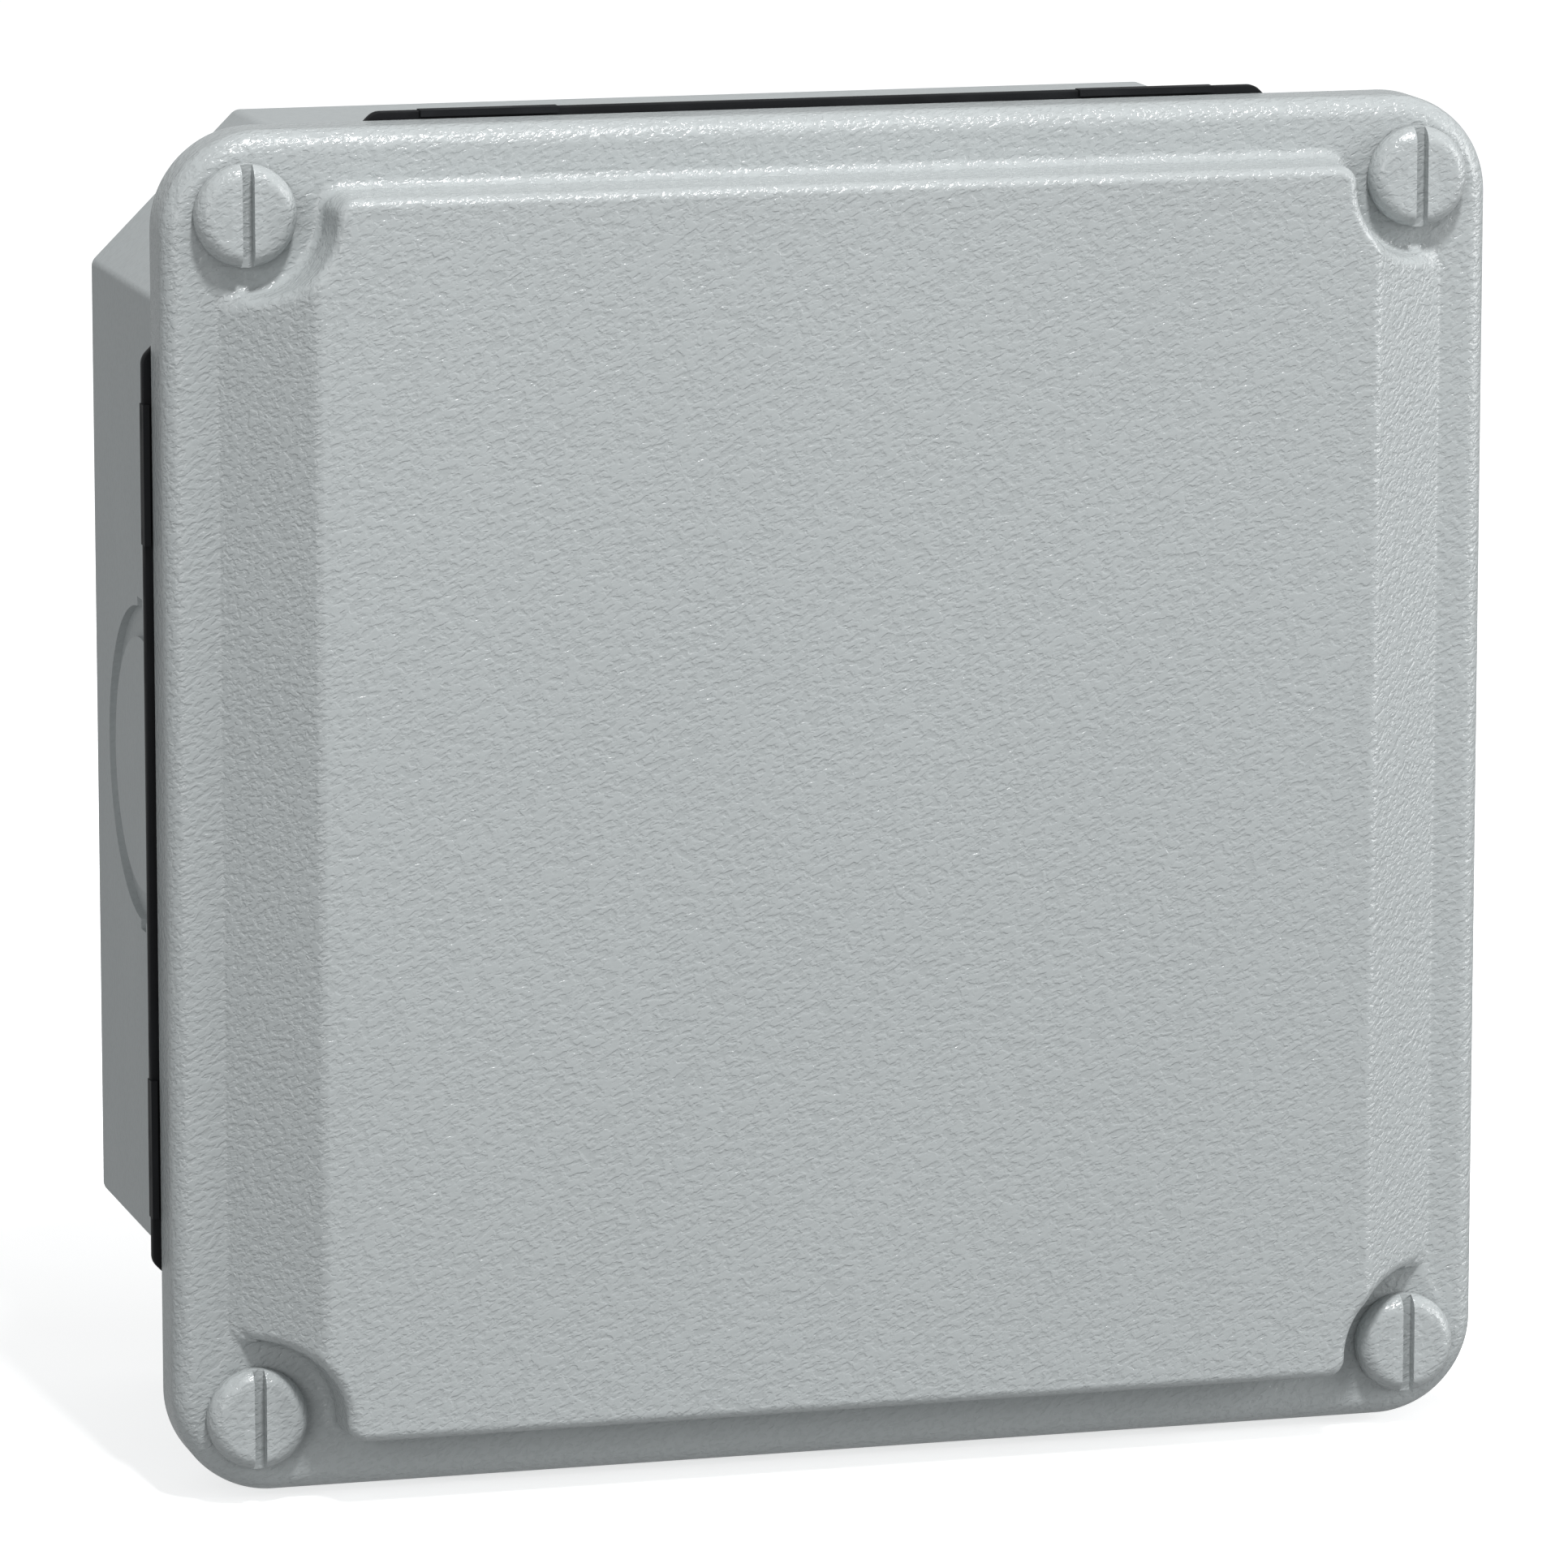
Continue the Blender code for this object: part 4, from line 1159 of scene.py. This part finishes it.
# ---------------------------------------------------------------------- parts behind the cover
@dataclass
class Interior:
    """Parts behind the cover, shown as the frame has them, with softened edges and finishes."""

    finishes: Finishes
    fine_edge: float = 0.0001
    soft_edge: float = 0.0002
    blunt_edge: float = 0.0003
    weld_gap: float = 0.000002

    def soften(self, node: str, width: float) -> None:
        """Round a node's sharp edges with modifiers, leaving its mesh as it is.

        Args:
            node: The node's name.
            width: Width of the round.
        """
        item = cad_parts[node]
        weld = item.modifiers.new("weld", "WELD")
        weld.merge_threshold = self.weld_gap
        edges = item.modifiers.new("edges", "BEVEL")
        edges.width = width
        edges.segments = 2
        edges.limit_method = "ANGLE"
        edges.angle_limit = math.radians(40)
        shading = item.modifiers.new("shading", "WEIGHTED_NORMAL")
        shading.keep_sharp = True

    def paint(self, node: str, finish: bpy.types.Material) -> None:
        """Give a node its finish through its object's own material slots.

        Args:
            node: The node's name.
            finish: The material.
        """
        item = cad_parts[node]
        if not item.material_slots:
            item.data.materials.append(finish)
        for slot in item.material_slots:
            slot.link = "OBJECT"
            slot.material = finish

    def wear(self) -> dict[str, tuple[bpy.types.Material, float]]:
        """The finish and edge round of every node that stays in sight."""
        kit = self.finishes
        fine, soft, blunt = self.fine_edge, self.soft_edge, self.blunt_edge
        worn = {"mounting_rail": (kit.zinc, blunt), "terminal_end_plate": (kit.stop, soft)}
        for side in ("left", "right"):
            worn["rail_screw_" + side] = (kit.zinc, fine)
            worn["end_stop_" + side] = (kit.stop, blunt)
            worn["end_stop_screw_" + side] = (kit.zinc, fine)
        for corner in Corner:
            worn["screw_retainer_" + corner.tag] = (kit.nylon, fine)
            worn["threaded_insert_" + corner.tag] = (kit.brass, fine)
            worn["fixing_cap_" + corner.tag] = (kit.cap, soft)
        for title, housing in kit.terminals.items():
            worn[f"terminal_{title}_housing"] = (housing, soft)
            worn[f"terminal_{title}_bar"] = (kit.brass, soft)
            worn[f"terminal_{title}_screw_upper"] = (kit.zinc, fine)
            worn[f"terminal_{title}_screw_lower"] = (kit.zinc, fine)
        return worn

    def build(self) -> None:
        """Finish every node that stays in sight."""
        for node, (finish, width) in self.wear().items():
            self.paint(node, finish)
            self.soften(node, width)
            LOG.info("%s: %s", node, finish.name)


# ---------------------------------------------------------------------- studio
@dataclass(frozen=True)
class Softbox:
    """One square soft light that looks at the middle of the box."""

    name: str
    place: Point
    size: float
    power: float
    tint: Point = (1.0, 1.0, 1.0)

    def build(self, target: Vector) -> None:
        """Hang the light.

        Args:
            target: The point it looks at.
        """
        lamp = bpy.data.lights.new(self.name, "AREA")
        lamp.shape = "SQUARE"
        lamp.size = self.size
        lamp.energy = self.power
        lamp.color = self.tint
        item = bpy.data.objects.new(self.name, lamp)
        item.location = self.place
        item.rotation_euler = (target - Vector(self.place)).to_track_quat("-Z", "Y").to_euler()
        bpy.context.scene.collection.objects.link(item)
        LOG.info("light %s: %.1f W", self.name, self.power)


@dataclass
class Studio:
    """Pale floor, soft lights, even surroundings and the camera."""

    floor_half: float = 6.0
    ambient: float = 0.37
    lens: float = 222.46
    sensor: float = 36.0
    camera_place: Point = (-0.32331, -1.21412, 0.21996)
    camera_pitch: float = 79.562
    camera_yaw: float = -15.466

    def build_floor(self) -> None:
        """Lay a gently dished floor of pale paper under the box."""
        bm = bmesh.new()
        size = self.floor_half
        bmesh.ops.create_grid(bm, x_segments=24, y_segments=24, size=size)
        for vert in bm.verts:
            far = max(vert.co.length - 0.6 * size, 0.0)
            vert.co.z = 0.02 * far * far
        mesh = bpy.data.meshes.new("floor")
        bm.to_mesh(mesh)
        bm.free()
        mesh.shade_smooth()
        mesh.materials.append(Paper("floor_pale_paper", (0.86, 0.86, 0.86), 0.62).build())
        floor = bpy.data.objects.new("floor", mesh)
        floor.location.z = CAD_BOX[0].z
        floor.visible_diffuse = False
        floor.visible_glossy = False
        bpy.context.scene.collection.objects.link(floor)

    def build_surroundings(self) -> None:
        """Dim even light from all round, behind a plain white backdrop."""
        world = bpy.data.worlds.new("studio")
        world.use_nodes = True
        bpy.context.scene.world = world
        nodes, links = world.node_tree.nodes, world.node_tree.links
        lit = nodes["Background"]
        lit.inputs["Color"].default_value = (0.97, 0.99, 1.0, 1.0)
        lit.inputs["Strength"].default_value = self.ambient
        seen = nodes.new("ShaderNodeBackground")
        seen.inputs["Color"].default_value = (1.0, 1.0, 1.0, 1.0)
        seen.inputs["Strength"].default_value = 1.0
        mix = nodes.new("ShaderNodeMixShader")
        path = nodes.new("ShaderNodeLightPath")
        links.new(path.outputs["Is Camera Ray"], mix.inputs[0])
        links.new(lit.outputs[0], mix.inputs[1])
        links.new(seen.outputs[0], mix.inputs[2])
        links.new(mix.outputs[0], nodes["World Output"].inputs["Surface"])

    def build_camera(self) -> None:
        """Set up the long lens."""
        lens = bpy.data.cameras.new("camera")
        lens.lens = self.lens
        lens.sensor_width = self.sensor
        lens.clip_end = 50.0
        item = bpy.data.objects.new("camera", lens)
        item.location = self.camera_place
        item.rotation_euler = (math.radians(self.camera_pitch), 0.0, math.radians(self.camera_yaw))
        bpy.context.scene.collection.objects.link(item)
        bpy.context.scene.camera = item

    def build_lights(self) -> None:
        """Hang the soft lights, mostly above and to the right."""
        target = (CAD_BOX[0] + CAD_BOX[1]) / 2
        for light in (
            Softbox("overhead", (0.05, -0.80, 1.35), 0.20, 21.0),
            Softbox("key_right", (1.60, -0.70, 0.35), 0.9, 17.0),
            Softbox("fill_front", (-1.10, -1.45, 0.35), 0.9, 6.5),
        ):
            light.build(target)

    def build(self) -> None:
        """Set up the whole studio."""
        scene = bpy.context.scene
        scene.view_settings.view_transform = "Standard"
        scene.view_settings.look = "None"
        self.build_floor()
        self.build_surroundings()
        self.build_lights()
        self.build_camera()


def main() -> None:
    """Build the box's looks in order, then the studio."""
    logging.basicConfig(level=logging.INFO, format="%(name)s: %(message)s")
    finishes = Finishes()
    Tub(finishes).build()
    Seal(finishes).build()
    Cover(finishes).build()
    for corner in Corner:
        CoverScrew(finishes, corner).build()
    Interior(finishes).build()
    Studio().build()


if __name__ == "__main__":
    main()
